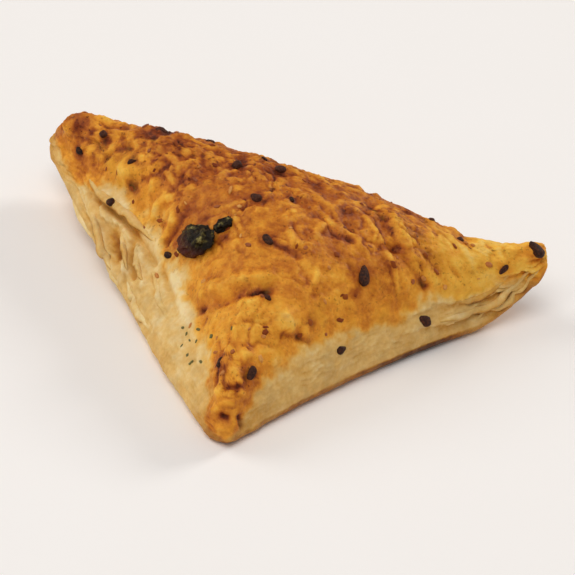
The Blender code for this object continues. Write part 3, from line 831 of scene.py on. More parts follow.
# %% Stains round seeds and flakes
# Each seed: its place and its length, in mm
SEEDS = [
    (-32.0, 5.2, 11.4, 1.9), (-33.9, 15.4, 16.3, 1.7), (-37.6, 16.5, 12.0, 2.0), (-29.0, 8.5, 16.9, 1.6),
    (-24.4, 13.7, 18.9, 2.3), (-12.5, 3.7, 21.6, 2.1), (-7.5, 8.2, 20.2, 1.5), (-5.8, 2.8, 21.8, 2.2),
    (-9.3, -6.5, 22.7, 2.3), (-3.6, -5.7, 21.9, 1.2), (-7.2, -15.4, 20.9, 2.3), (8.6, -16.6, 16.2, 3.1),
    (-6.7, -25.3, 17.0, 1.3), (19.0, -13.5, 6.3, 3.0), (5.8, -24.6, 7.1, 2.0), (-7.6, -37.0, 10.2, 2.5),
    (-13.4, -34.9, 10.3, 2.2), (31.3, -3.3, 10.2, 1.9), (36.4, -0.5, 12.9, 2.9), (-22.4, -8.4, 10.8, 1.9),
    (19.2, 1.5, 15.7, 1.6), (24.1, -0.7, 13.6, 1.5),
    (-28.0, 20.0, 9.0, 2.3), (-17.0, 13.5, 17.0, 2.1), (-2.0, 14.5, 9.0, 2.4), (7.0, 7.5, 15.0, 1.8),
    (20.0, 7.0, 6.0, 2.2), (-12.0, 17.5, 5.0, 1.9),
]
RED_FLAKES = [
    (-28.8, 5.7, 13.2), (-23.7, -2.6, 13.2), (-37.7, 19.7, 14.9), (18.6, -8.1, 15.1), (20.4, -9.0, 13.1),
    (13.1, -12.4, 15.6), (7.7, -19.4, 14.1), (4.0, -15.2, 19.1), (5.3, -5.9, 20.8), (0.3, -0.7, 21.1),
    (-14.1, -13.3, 18.4), (-22.2, 8.8, 20.8), (-24.0, 13.6, 19.3), (0.5, -26.0, 12.9), (-1.1, -28.5, 11.7),
    (-20.9, -9.4, 11.8), (-6.3, -31.0, 14.5), (-9.2, -33.6, 12.6), (-12.8, -36.4, 9.8), (15.2, 1.4, 16.8),
]


def near_any(points, spots, radii):
    """The greatest of the bells round the spots."""
    near = np.zeros(len(points))
    for spot, radius in zip(spots, radii):
        near = np.maximum(near, bell(away_from(points, spot), radius))
    return near


FLAKE_STAIN = 1.2 * MM
seed_spots = mm(SEEDS)[:, :3]
seed_lengths = mm(SEEDS)[:, 3]
baking += DARKER["seeds"] * near_any(smooth_skin, seed_spots, 0.80 * seed_lengths)
baking += DARKER["flakes"] * near_any(smooth_skin, mm(RED_FLAKES), [FLAKE_STAIN] * len(RED_FLAKES))
spice_there = np.clip(0.30 + 1.2 * ease(baking, 0.50, 0.70) * cheesy + 0.3 * wide, 0, 1) * on_top

# %% Baking of the walls and the underside
# Baking of the front right, back and left walls, and how much more at their feet
WALL_BAKE = (0.26, 0.42, 0.20)
FOOT_BAKE = (0.06, 0.20, 0.10)
UNDERSIDE_BAKE = 0.62
# How much each of these darkens a wall, on the scale of baking
WALL_DARKER = {"wide": 0.06, "spots": 0.06, "layers": 0.16, "folds": 0.7, "hollows": 0.06, "tips": 0.30}
BURNT_AND_SHADED_FOOT = 0.85
wall_bake = np.choose(skin_edge, WALL_BAKE) + WALL_DARKER["wide"] * wide + WALL_DARKER["spots"] * spots
wall_bake += WALL_DARKER["layers"] * layer_line + WALL_DARKER["folds"] * fold_bake_and_shade
# Painted shade and highlight on the walls: hollows darker, crowns lighter
wall_bake += WALL_DARKER["tips"] * at_tips - WALL_DARKER["hollows"] * stand
foot = ease(share_in_zone, 0.72, 1.0) * (zone == 1) + (zone == 2)
wall_bake += foot * np.choose(skin_edge, FOOT_BAKE)
# Along the foot of the front right wall a dark line is painted: partly a burnt edge, partly painted shade
# where the wall meets the table
base_line = 0.45 * np.exp(-((skin_t - 0.42) / 0.36) ** 4) + 0.50 * bell(skin_t - 0.64, 0.13)
burnt_and_shaded = (zone == 2) + (zone == 1) * ease(share_in_zone, 0.95, 0.985)
wall_bake += BURNT_AND_SHADED_FOOT * base_line * (skin_edge == 0) * burnt_and_shaded
floor_bake = UNDERSIDE_BAKE + 0.12 * wide + 0.08 * spots - 0.20 * ease(share_in_zone, 0.75, 0.95)

# %% Where the cheesy crust ends and bare dough begins
# How far the crust reaches down each wall, and places where it reaches further or less far:
# middle, radius and extra reach, all in mm
COVER_REACH = mm([0.6, -1.0, 0.2])
COVER_PATCHES = [
    ((26.5, -7.5, 8.0), 4.5, 1.8), ((11.0, -18.6, 9.3), 5.5, 2.8), ((17.0, -14.0, 8.8), 5.0, 1.6),
    ((-37.2, 14.5, 8.6), 3.4, 5.0), ((-39.5, 19.0, 10.0), 3.0, 3.0), ((37.4, -1.0, 7.4), 2.4, 4.5),
    ((-12.0, -42.0, 4.0), 3.6, 9.0), ((36.5, -1.0, 10.5), 3.0, 5.0), ((38.0, 1.0, 10.0), 2.6, 6.0),
    ((-20.0, -12.5, 9.6), 2.2, -1.6), ((-18.6, -20.0, 8.2), 2.2, -1.4), ((-30.5, 4.0, 10.5), 2.6, -1.8),
    ((-34.5, 11.5, 9.8), 2.6, 1.2), ((-25.0, -3.5, 10.5), 2.4, -1.6),
]
COVER_EDGE = 1.3 * MM
reach = COVER_REACH[skin_edge] + 1.4 * MM * wide + 0.9 * MM * spots
for middle, radius, further in COVER_PATCHES:
    reach += further * MM * bell(away_from(smooth_skin, mm(middle)), radius * MM)
cover = ease(rim_away + reach, -COVER_EDGE, COVER_EDGE) * (zone < 2)
bake = baking * cover + wall_bake * (1 - cover)
bake = np.where(zone == 3, floor_bake, bake)
warmth = warmth * cover
print("baking runs from", bake.min().round(2), "to", bake.max().round(2))

# %% [markdown]
# ## From arrays to an object
#
# Every piece ends in the same few steps: its arrays go into a mesh, its per-point numbers become
# attributes that the material reads, its faces are shaded smooth, and it rides on the body.

# %% Put arrays into a mesh
def make_piece(name, points, faces, finish, numbers, more_faces):
    """A smooth-shaded object from points and faces, moved to the frame, riding on the samosa."""
    mesh = bpy.data.meshes.new(name)
    face_list = faces.tolist() + more_faces.tolist()
    mesh.from_pydata((points + CENTRE_SHIFT).tolist(), [], face_list)
    for label, values in numbers.items():
        layer = mesh.attributes.new(label, "FLOAT", "POINT")
        layer.data.foreach_set("value", np.ascontiguousarray(values, np.float32))
    mesh.shade_smooth()
    mesh.materials.append(finish)
    mesh.validate()
    piece = bpy.data.objects.new(name, mesh)
    bpy.context.scene.collection.objects.link(piece)
    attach(piece, "root")
    triangles = sum(len(face) - 2 for face in face_list)
    print(name + ":", len(points), "points,", triangles, "triangles")
    return piece


# %% [markdown]
# ## Shader sums written as Python
#
# A material is a sum over a few patterns. Wiring each sum by hand hides what it says, so a small
# class wraps a socket and lets +, - and * add the Math nodes. Everything else comes from one
# method that makes any node from its kind, its settings and its sockets.

# %% A wire, and a finish that holds its nodes
class Wire:
    """A value on its way through a finish. Sums with it add Math nodes."""

    def __init__(self, finish, socket):
        self.finish = finish
        self.socket = socket

    def sum_with(self, operation, first, second):
        return self.finish.node("ShaderNodeMath", {"operation": operation}, {0: first, 1: second})

    def __add__(self, other):
        return self.sum_with("ADD", self, other)

    def __sub__(self, other):
        return self.sum_with("SUBTRACT", self, other)

    def __rsub__(self, other):
        return self.sum_with("SUBTRACT", other, self)

    def __mul__(self, other):
        return self.sum_with("MULTIPLY", self, other)

    __radd__ = __add__
    __rmul__ = __mul__


class Finish:
    """A material: one Principled shader and the nodes that feed it."""

    def __init__(self, name, **fixed):
        self.material = bpy.data.materials.new(name)
        self.material.use_nodes = True
        self.tree = self.material.node_tree
        self.shader = self.tree.nodes["Principled BSDF"]
        for label, value in fixed.items():
            self.shader.inputs[label.replace("_", " ")].default_value = value

    def plug(self, socket, value):
        """Link a wire to a socket, or set the socket to a plain value."""
        if isinstance(value, Wire):
            self.tree.links.new(value.socket, socket)
        else:
            socket.default_value = value

    def node(self, kind, settings=None, sockets=None, out=0):
        """A node of any kind: its settings first, then its sockets, then its output as a wire."""
        made = self.tree.nodes.new(kind)
        for label, value in (settings or {}).items():
            if label == "stops":
                while len(made.color_ramp.elements) < len(value):
                    made.color_ramp.elements.new(1.0)
                for stop, (position, colour) in zip(made.color_ramp.elements, value):
                    stop.position = position
                    stop.color = colour
            else:
                setattr(made, label, value)
        for label, value in (sockets or {}).items():
            self.plug(made.inputs[label], value)
        return Wire(self, made.outputs[out])

    def place(self):
        """The point of the surface, in metres from the frame's origin."""
        return self.node("ShaderNodeTexCoord", out="Object")

    def number(self, label):
        """A number that the mesh carries at its points."""
        return self.node("ShaderNodeAttribute", {"attribute_name": label}, out="Fac")

    def noise(self, scale, detail=2.0, roughness=0.55):
        """Noise of 0 to 1 with about 1 / scale metres between its lumps."""
        sockets = {"Vector": self.place(), "Scale": scale, "Detail": detail, "Roughness": roughness}
        return self.node("ShaderNodeTexNoise", {}, sockets)

    def clamp(self, value, low, high):
        """0 below low, 1 above high, and straight between."""
        sockets = {"Value": value, "From Min": low, "From Max": high}
        return self.node("ShaderNodeMapRange", {"clamp": True}, sockets)

    def mix(self, share, first, second):
        """A share of the second colour over the first."""
        return self.node("ShaderNodeMix", {"data_type": "RGBA"}, {0: share, 6: first, 7: second}, out=2)

    def ramp(self, value, stops):
        """Colours along a value."""
        return self.node("ShaderNodeValToRGB", {"stops": stops}, {"Fac": value})

    def bump(self, height, distance, strength=1.0):
        """Let a height in 0 to 1 tilt the shading, as relief of that distance in metres would."""
        sockets = {"Height": height, "Distance": distance, "Strength": strength}
        self.plug(self.shader.inputs["Normal"], self.node("ShaderNodeBump", {}, sockets))

    def use(self, **varying):
        """Feed the shader's sockets."""
        for label, value in varying.items():
            self.plug(self.shader.inputs[label.replace("_", " ")], value)
        return self.material


def tone(red, green, blue):
    """A colour seen on a screen, 0 to 255 each, as the linear light that shaders work in."""
    screen = np.array([red, green, blue]) / 255
    light = np.where(screen <= 0.04045, screen / 12.92, ((screen + 0.055) / 1.055) ** 2.4)
    return (*light.tolist(), 1.0)


# %% [markdown]
# ## The crust's finish
#
# The ramp holds the colours of baking, from cream dough to charred. Two noises break it up, one
# as wide as a strand and one as fine as a crumb. Oil makes the browned places a little shinier,
# flour keeps the pale walls dull, and a little light passes through the outermost layer.

# %% Baked crust
CRUST_BAKING = [
    (0.00, tone(255, 213, 118)),
    (0.25, tone(250, 190, 74)),
    (0.45, tone(235, 158, 50)),
    (0.60, tone(209, 127, 36)),
    (0.74, tone(172, 91, 27)),
    (0.87, tone(122, 54, 20)),
    (1.00, tone(64, 24, 10)),
]
DOUGH_BAKING = [
    (0.00, tone(246, 220, 164)),
    (0.25, tone(232, 190, 116)),
    (0.50, tone(213, 157, 72)),
    (0.72, tone(177, 112, 40)),
    (1.00, tone(88, 44, 22)),
]
RED_CRUST = tone(160, 74, 34)
YELLOW_CRUST = tone(206, 150, 44)
DRY_DOUGH = tone(170, 134, 84)
SPICE_BLOTCH = tone(142, 64, 22)
SPICE_SPECK = tone(84, 34, 12)
CRUST_RELIEF = 0.30 * MM

crust = Finish("baked_crust", Subsurface_Weight=0.10, Subsurface_Scale=0.0010, Specular_IOR_Level=0.13)
crust.shader.inputs["Subsurface Radius"].default_value = (1.0, 0.5, 0.2)
strand_wide = crust.noise(420, detail=3.0, roughness=0.55)
crumb_fine = crust.noise(1500, detail=3.0, roughness=0.6)
baked = crust.number("bake") + (strand_wide - 0.5) * 0.38 + (crumb_fine - 0.5) * 0.30
covered = crust.number("cover")
colour = crust.mix(covered, crust.ramp(baked, DOUGH_BAKING), crust.ramp(baked, CRUST_BAKING))
blush = crust.noise(330, detail=3.0, roughness=0.6) - 0.5
warm = crust.number("warmth") + blush * covered * 3.0
colour = crust.mix(crust.clamp(warm, 0.0, 1.2) * 0.45, colour, RED_CRUST)
colour = crust.mix(crust.clamp(warm * -1.0, 0.0, 1.2) * 0.50, colour, YELLOW_CRUST)
dry = crust.clamp(crust.noise(300, detail=4.0, roughness=0.6), 0.44, 0.72) * (1.0 - covered)
colour = crust.mix(dry * 0.36, colour, DRY_DOUGH)
spice = crust.number("spice")
blotch = crust.clamp(crust.noise(800, roughness=0.5), 0.56, 0.70) * spice
colour = crust.mix(blotch * 0.70, colour, SPICE_BLOTCH)
speck = crust.clamp(crust.noise(2000, roughness=0.5), 0.60, 0.70) * spice
colour = crust.mix(speck * 0.85, colour, SPICE_SPECK)
dull = 0.60 - crust.clamp(baked, 0.3, 0.7) * 0.14 + (crumb_fine - 0.5) * 0.30
crust.bump(0.35 * strand_wide + 0.65 * crumb_fine, CRUST_RELIEF, 0.9)
crust_finish = crust.use(Base_Color=colour, Roughness=dull)
print("nodes in the crust's finish:", len(crust.tree.nodes))

# %% The crust itself
crust_numbers = {"bake": bake, "warmth": warmth, "cover": cover, "spice": spice_there}
samosa_crust = make_piece("samosa_crust", raised, quads, crust_finish, crust_numbers, fan_faces)
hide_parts("samosa")
raised_tree = BVHTree.FromPolygons(raised.tolist(), quads.tolist() + fan_faces.tolist())

# %% [markdown]
# ## Loose flakes of the layers
#
# Near the two curled tips the sheets of the wall have parted, and leaf-like flakes stand off it
# with a dark line under each. Pushing the skin out can't make an overhang, so each flake is a thin
# sheet of its own: rooted in the skin along a path, bellied outwards, and free at its lower edge.

# %% Where the flakes are rooted
# Each flake: points of its root in mm, how far it hangs and how far it stands off, in mm
LEFT_FLAKES = [
    ([(-35.4, 12.8, 9.8), (-33.2, 8.9, 10.1), (-30.3, 5.2, 10.7), (-27.2, 1.0, 11.0), (-24.2, -4.6, 10.5)],
     1.7, 0.70),
    ([(-34.2, 6.8, 7.4), (-32.8, 3.0, 7.0), (-31.9, -1.0, 6.0), (-30.9, -4.8, 4.6)], 1.5, 0.80),
    ([(-29.0, 1.2, 8.2), (-28.5, -2.8, 7.0), (-28.0, -6.6, 5.6)], 1.2, 0.85),
    ([(-26.7, -2.2, 8.6), (-26.2, -6.2, 7.2), (-25.5, -10.0, 6.0)], 1.2, 0.75),
    ([(-33.4, 1.6, 4.4), (-31.6, -3.6, 3.4), (-29.6, -8.6, 2.8)], 1.5, 0.55),
    ([(-29.0, -7.4, 4.8), (-26.8, -13.0, 3.9), (-24.4, -18.4, 3.4)], 1.5, 0.50),
    ([(-24.8, -8.6, 8.3), (-23.0, -14.0, 7.1), (-21.2, -19.4, 6.1)], 1.3, 0.50),
    ([(-37.4, 13.0, 5.6), (-35.6, 8.4, 4.8), (-33.9, 4.2, 4.0)], 1.3, 0.55),
]
# Each run of a wall: its edge, from and to along it, from and to down it (all in shares), then
# hang and stand-off in mm
WALL_FLAKES = [
    (0, 0.70, 0.90, 0.26, 0.16, 1.1, 0.35), (0, 0.66, 0.95, 0.52, 0.44, 1.3, 0.42),
    (0, 0.78, 0.97, 0.76, 0.68, 1.2, 0.42), (1, 0.04, 0.20, 0.30, 0.36, 1.5, 0.50),
    (1, 0.16, 0.38, 0.62, 0.52, 1.6, 0.60), (1, 0.34, 0.60, 0.30, 0.40, 1.8, 0.65),
    (1, 0.55, 0.82, 0.66, 0.60, 1.7, 0.60), (1, 0.74, 0.95, 0.34, 0.42, 1.5, 0.50),
    (1, 0.28, 0.50, 0.82, 0.80, 1.3, 0.45),
]
RUN_STEPS = 7


def wall_point(on_edge, t, down):
    """Point of the smooth wall at share t along an edge and at share down from rim to foot."""
    columns = np.flatnonzero(edge == on_edge)
    column = columns[np.argmin(np.abs(edge_share[columns] - t))]
    return smooth_skin[first_ring + int(down * (WALL_RINGS - 1)) * AROUND + column]


roots = [(mm(path), hang, off) for path, hang, off in LEFT_FLAKES]
for on_edge, t0, t1, down0, down1, hang, off in WALL_FLAKES:
    places = zip(np.linspace(t0, t1, RUN_STEPS), np.linspace(down0, down1, RUN_STEPS))
    roots.append((np.array([wall_point(on_edge, t, down) for t, down in places]), hang, off))
print("flakes of pastry:", len(roots))


# %% Sheets
FLAKE_STEPS = 56
FLAKE_RIBS = 9
HALF_THICK = 0.20 * MM
ROOT_SUNK = 0.22 * MM


def spread_along(rows, passes):
    """Each pass replaces a row by the mean of itself and its two neighbours."""
    for _ in range(passes):
        padded = np.vstack([rows[:1], rows, rows[-1:]])
        rows = (padded[:-2] + padded[1:-1] + padded[2:]) / 3
    return rows


def flake_sheet(path, hang, off, rng):
    """A thin closed sheet. At share u from root to free edge it hangs by hang * u and stands off
    by off * sin(0.8 pi u), both swelling as sin(pi t)^0.6 along the path."""
    t = np.linspace(0.004, 0.996, FLAKE_STEPS)
    found = [raised_tree.find_nearest(Vector(spot))[:2] for spot in walk(path, t)]
    base = np.array([at for at, _ in found])
    out = unit(spread_along(np.array([normal for _, normal in found]), 6))
    base = spread_along(base, 3)
    below = unit(np.cross(unit(np.gradient(base, axis=0)), out))
    below *= -np.sign(below[:, 2].mean())
    ragged = lattice_noise(base, size=2.6 * MM, seed=int(rng.integers(1000)))
    swell = (np.sin(math.pi * t) ** 0.6 * (1 + 0.30 * ragged))[:, None]
    u = np.r_[np.linspace(0, 1, FLAKE_RIBS), np.linspace(1, 0, FLAKE_RIBS)[1:-1]]
    half_thick = HALF_THICK * np.where(np.arange(len(u)) < FLAKE_RIBS, 1, -1) * (1 - 0.75 * u ** 2)
    half_thick[0] = half_thick[FLAKE_RIBS - 1] = 0
    reach = hang * MM * swell * u
    rise = (off * MM * np.sin(0.8 * math.pi * u) + half_thick) * swell - ROOT_SUNK
    points = base[:, None] + reach[..., None] * below[:, None] + rise[..., None] * out[:, None]
    return points.reshape(-1, 3), np.broadcast_to(u, reach.shape).ravel()


def turned_out(points, faces):
    """1 if the faces look outwards, which makes the volume that they close positive, else -1."""
    corners = points[faces] - points.mean(0)
    return 1 if (corners[:, 0] * np.cross(corners[:, 1], corners[:, 2])).sum() > 0 else -1


loop = 2 * FLAKE_RIBS - 2
at = np.arange(FLAKE_STEPS * loop).reshape(FLAKE_STEPS, loop)
sheet_quads = join_rings(at)
first_end = [(at[0, 0], at[0, i], at[0, i + 1]) for i in range(1, loop - 1)]
last_end = [(at[-1, 0], at[-1, i + 1], at[-1, i]) for i in range(1, loop - 1)]
sheet_ends = np.array(first_end + last_end)
print("each sheet:", at.size, "points")

# %% All flakes in one piece
FLAKE_BAKE = 0.16
EDGE_BAKE = 0.34
RIGHT_TAN = 0.20
sheet_rng = np.random.default_rng(61)
sheets = [flake_sheet(path, hang, off, sheet_rng) for path, hang, off in roots]
layer_quads = []
layer_ends = []
layer_bake = []
for number, (points, u) in enumerate(sheets):
    turn = turned_out(points, sheet_quads)
    layer_quads.append(sheet_quads[:, ::turn] + number * len(points))
    layer_ends.append(sheet_ends[:, ::turn] + number * len(points))
    tanned = RIGHT_TAN * ease(points[:, 0], 15 * MM, 30 * MM)
    mottle = 0.10 * lattice_noise(points, size=3.0 * MM, seed=63) + sheet_rng.uniform(-0.06, 0.10)
    layer_bake.append(FLAKE_BAKE + EDGE_BAKE * u ** 4 + tanned + mottle)
layer_points = np.concatenate([points for points, _ in sheets])
layer_quads = np.concatenate(layer_quads)
bare = np.zeros(len(layer_points))
layer_numbers = {"bake": np.concatenate(layer_bake), "warmth": bare, "cover": bare, "spice": bare}
flaky_layers = make_piece("flaky_layers", layer_points, layer_quads, crust_finish, layer_numbers,
                          np.concatenate(layer_ends))
dressed_faces = quads.tolist() + fan_faces.tolist() + (layer_quads + len(raised)).tolist()
dressed_tree = BVHTree.FromPolygons(np.vstack([raised, layer_points]).tolist(), dressed_faces)

# %% [markdown]
# ## What is strewn on it: seeds, chips, flakes and crumbs
#
# The dark seeds are nigella, teardrops 2 to 3 mm long with blunt corners. Two chips of onion
# have charred. Red flakes of chilli, a few flecks of herb and crumbs of browned cheese lie
# between. Each is a small grid wrapped round a ball and set on the skin by its nearest point, and
# all pieces of one kind are joined into one mesh. One grain serves a whole finish: it gives the
# relief, how dull the piece is, and part of its colour.

# %% A pebble of any shape, many times over
def round_ball(around, along):
    """Directions on a ball: rows from pole to pole, and the faces between them."""
    turn = np.arange(around) / around * 2 * math.pi
    down = np.linspace(0, math.pi, along + 1)[1:-1]
    ring = np.stack([np.outer(np.sin(down), np.cos(turn)), np.outer(np.sin(down), np.sin(turn)),
                     np.outer(np.cos(down), np.ones(around))], -1).reshape(-1, 3)
    points = np.vstack([ring, [[0, 0, 1], [0, 0, -1]]])
    at = np.arange((along - 1) * around).reshape(along - 1, around)
    beside = np.roll(at, -1, 1)
    top = np.full(around, len(ring))
    top_cap = np.stack([top, at[0], beside[0]], -1)
    bottom_cap = np.stack([top + 1, beside[-1], at[-1]], -1)
    return points, join_rings(at), np.vstack([top_cap, bottom_cap])


def set_on_skin(spot, heading):
    """Nearest skin point, with directions along, across and out of the skin there."""
    point, out, _, _ = dressed_tree.find_nearest(Vector(spot))
    along = Vector((math.cos(heading), math.sin(heading), 0))
    along = (along - out * along.dot(out)).normalized()
    return np.array(point), np.array([along, out.cross(along), out])


def strew(name, spots, sizes, shape, finish, seed, sunk=0.4, around=10, along=7, headings=None):
    """Join one shaped pebble per spot: the shape function turns the ball's directions into the
    piece's form at size 1, which is scaled, turned to its heading and sunk into the skin."""
    rng = np.random.default_rng(seed)
    ball, ball_quads, ball_caps = round_ball(around, along)
    points = []
    tints = []
    for i, (spot, size) in enumerate(zip(spots, sizes)):
        heading = rng.uniform(0, 2 * math.pi) if headings is None else headings[i]
        point, axes = set_on_skin(spot, heading)
        form = shape(ball, rng) * size / 2
        form[:, 2] += size[2] * (0.5 - sunk)
        points.append(point + form @ axes)
        tints.append(np.full(len(ball), rng.uniform()))
    step = np.arange(len(points)) * len(ball)
    four = (ball_quads[None] + step[:, None, None]).reshape(-1, 4)
    three = (ball_caps[None] + step[:, None, None]).reshape(-1, 3)
    piece = make_piece(name, np.concatenate(points), four, finish, {"tint": np.concatenate(tints)}, three)


def small_finish(name, gloss, grain, relief, dull, paint):
    """A finish from one grain: grain holds the noise's scale, detail and roughness, relief its
    depth in mm and its strength, dull the least roughness and what the grain adds to it, and
    paint turns the finish and the grain into a colour."""
    finish = Finish(name, Specular_IOR_Level=gloss)
    pattern = finish.noise(*grain)
    finish.bump(pattern, relief[0] * MM, relief[1])
    return finish.use(Base_Color=paint(finish, pattern), Roughness=dull[0] + pattern * dull[1])


# %% Seeds
SEED_SHAPE = np.array([1.0, 0.70, 0.62])


def seed_form(ball, rng):
    """A lumpy teardrop: narrower to one end, with soft corners round it and a wrinkled coat."""
    x, y, zz = ball.T
    turn = np.arctan2(zz, y)
    thin = 1 - 0.16 * ease(x, -0.2, 1.0) + 0.12 * np.sin(3.1 * x + rng.uniform(0, 6))
    corner = 1 + 0.06 * np.cos(3 * turn + rng.uniform(0, 6))
    coat = 1 + 0.09 * layered_noise(ball * 0.004, 0.0030, 2, int(rng.integers(1000)))
    return np.stack([x * coat, y * thin * corner * coat, zz * thin * corner * coat], 1)


def seed_paint(finish, pits):
    """Dark brown that differs from seed to seed, lighter in the pits of the coat."""
    coat = finish.mix(finish.number("tint"), tone(30, 17, 13), tone(70, 34, 22))
    return finish.mix(finish.clamp(pits, 0.45, 0.72) * 0.60, coat, tone(112, 62, 34))


seed_material = small_finish("nigella_seed", 0.18, (2600, 2.0, 0.6), (0.16, 0.9), (0.50, 0.25), seed_paint)
UPRIGHT_SEED = SEEDS.index((8.6, -16.6, 16.2, 3.1))
seed_rng = np.random.default_rng(11)
seed_sizes = seed_lengths[:, None] * SEED_SHAPE * seed_rng.uniform(0.85, 1.15, (len(SEEDS), 3))
seed_headings = seed_rng.uniform(0, math.pi, len(SEEDS))
seed_headings[UPRIGHT_SEED] = 1.9
strew("nigella_seeds", seed_spots, seed_sizes, seed_form, seed_material, 12, sunk=0.60, around=24,
      along=16, headings=seed_headings)

# %% Charred chips
CHIP_PLACES = mm([(-18.2, -11.1, 15.9), (-14.2, -10.9, 19.4)])
CHIP_SIZES = mm([(8.0, 4.7, 3.1), (3.1, 2.2, 1.9)])
CHIP_HEADINGS = (-0.31, 0.47)
# Colours of char along the wrinkle: the olive stops at the top of the ramp are painted glints
CHAR_AND_GLINT_TONES = [(0.32, tone(14, 8, 6)), (0.52, tone(34, 25, 13)), (0.61, tone(70, 61, 30)),
              (0.74, tone(150, 136, 78))]


def chip_form(ball, rng):
    """A flattened pillow with a wrinkled top: ridges are noise along one way, pits across it."""
    blunt = np.sign(ball) * np.abs(ball) ** np.array([0.82, 0.82, 0.75])
    lumps = layered_noise(ball * 0.004, 0.0026, 3, int(rng.integers(1000)), 0.6)
    return blunt * (1 + 0.28 * lumps[:, None])


def chip_paint(finish, wrinkle):
    """Char with painted olive glints on the crowns of its wrinkles, which turns red-brown towards the lower
    side of the chip.
    """
    height = finish.node("ShaderNodeSeparateXYZ", {}, {"Vector": finish.place()}, out="Z")
    low_side = finish.clamp(height * -1.0, -16.8 * MM, -14.9 * MM)
    return finish.mix(low_side * 0.85, finish.ramp(wrinkle, CHAR_AND_GLINT_TONES), tone(82, 30, 17))


chip_material = small_finish("charred_onion", 0.12, (800, 3.0, 0.6), (0.5, 0.9), (0.30, 0.3), chip_paint)
strew("charred_chips", CHIP_PLACES, CHIP_SIZES, chip_form, chip_material, 5, sunk=0.36, around=56,
      along=40, headings=CHIP_HEADINGS)

# %% Red flakes, herb and crumbs
GREEN_FLECKS = [(-15.2, -28.7, 10.7), (-18.6, -23.9, 7.3), (-18.1, -27.8, 5.9), (-12.0, -30.1, 13.4),
                (-16.6, -31.2, 7.6), (-19.2, -25.6, 6.2), (-18.2, -25.4, 7.2), (-17.2, -26.6, 7.9),
                (-17.6, -29.8, 6.0), (-19.0, -22.4, 7.0), (-16.9, -24.8, 9.0)]
CRUMB_TONES = [(0.2, tone(222, 160, 78)), (0.4, tone(206, 134, 56)), (0.7, tone(172, 94, 36)),
               (1.0, tone(128, 60, 26))]
LOOSE_FLAKES = 26
CRUMBS = 60


def flake_form(ball, rng):
    """A flat scrap: a squashed ball whose rim wanders in and out."""
    turn = np.arctan2(ball[:, 1], ball[:, 0])
    ragged = 1 + 0.22 * np.cos(2 * turn + rng.uniform(0, 6))
    ragged += 0.16 * np.cos(5 * turn + rng.uniform(0, 6))
    return ball * np.stack([ragged, ragged, np.ones(len(ball))], 1)


def crust_spots(count, rng, margin=0.05):
    """Random places over the crust, well inside the three tips."""
    spots = []
    while len(spots) < count:
        flat = rng.dirichlet((1.0, 1.0, 1.0), 1)[0]
        spot = skin_below(flat @ TIPS) if flat.min() > margin else None
        if spot is not None:
            spots.append(spot)
    return np.array(spots)


def flake_paint(finish, grain):
    """Brick red to orange-brown from flake to flake, darker in the grain."""
    red = finish.mix(finish.number("tint"), tone(124, 48, 12), tone(164, 84, 24))
    return finish.mix(grain * 0.4, red, tone(96, 36, 10))


def herb_paint(finish, grain):
    """Two olive greens."""
    return finish.mix(grain, tone(72, 70, 28), tone(122, 112, 52))


def crumb_paint(finish, grain):
    """Pale gold to dark brown, from crumb to crumb and in the grain."""
    return finish.ramp(finish.number("tint") * 0.7 + grain * 0.5, CRUMB_TONES)


# %% Strew them
FLAKE_SIZE = mm([(1.3, 0.9, 0.34)])
SEEN_FLAKES_WIDER = 1.15
HERB_SIZE = mm([(0.92, 0.60, 0.22)])
CRUMB_SIZE = mm([(1.2, 0.8, 0.45)])
flake_material = small_finish("chilli_flake", 0.15, (1800, 2.0, 0.55), (0.10, 0.7), (0.40, 0.2), flake_paint)
herb_material = small_finish("herb_fleck", 0.35, (1500, 2.0, 0.55), (0.08, 0.7), (0.50, 0.2), herb_paint)
crumb_material = small_finish("cheese_crumb", 0.40, (1600, 2.0, 0.55), (0.10, 0.7), (0.48, 0.2), crumb_paint)
# How deep each kind is sunk, and how many steps its grid has round it and along it
SCRAP = {"sunk": 0.5, "around": 9, "along": 6}
CRUMB = {"sunk": 0.5, "around": 7, "along": 5}

flake_rng = np.random.default_rng(21)
flake_spots = np.vstack([mm(RED_FLAKES), crust_spots(LOOSE_FLAKES, flake_rng)])
flake_sizes = FLAKE_SIZE * flake_rng.uniform(0.5, 1.0, (len(flake_spots), 1))
flake_sizes[:len(RED_FLAKES)] *= SEEN_FLAKES_WIDER
strew("chilli_flakes", flake_spots, flake_sizes, flake_form, flake_material, 22, **SCRAP)

herb_sizes = HERB_SIZE * np.random.default_rng(31).uniform(0.7, 1.1, (len(GREEN_FLECKS), 1))
strew("herb_flecks", mm(GREEN_FLECKS), herb_sizes, flake_form, herb_material, 32, **SCRAP)

crumb_rng = np.random.default_rng(41)
crumb_spots = crust_spots(CRUMBS, crumb_rng, 0.03)
crumb_sizes = CRUMB_SIZE * crumb_rng.uniform(0.5, 1.2, (CRUMBS, 1)) ** 1.3
strew("cheese_crumbs", crumb_spots, crumb_sizes, flake_form, crumb_material, 42, **CRUMB)

# %% [markdown]
# ## Floor, light and camera
#
# The samosa stands on a pale table in bright, soft light. One broad light comes from the right
# and a little behind, which throws the soft shadow on the left; a second, from behind and above
# on the left, softens the first and leaves the front right wall in mild shade. The camera stands
# where the photograph's did, with a longer lens.

# %% Floor
FLOOR_HALF = 3.0
floor_corners = FLOOR_HALF * np.array([(-1, -1, 0), (1, -1, 0), (1, 1, 0), (-1, 1, 0)])
floor_mesh = bpy.data.meshes.new("table_top")
floor_mesh.from_pydata(floor_corners.tolist(), [], [(0, 1, 2, 3)])
floor_finish = Finish("table_top", Roughness=0.6, Specular_IOR_Level=0.3)
floor_grain = floor_finish.noise(18)
floor_colour = floor_finish.mix(floor_grain, tone(252, 248, 245), tone(254, 251, 249))
floor_mesh.materials.append(floor_finish.use(Base_Color=floor_colour))
table_top = bpy.data.objects.new("table_top", floor_mesh)
bpy.context.scene.collection.objects.link(table_top)
table_top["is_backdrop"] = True
print("floor:", 2 * FLOOR_HALF, "m wide")


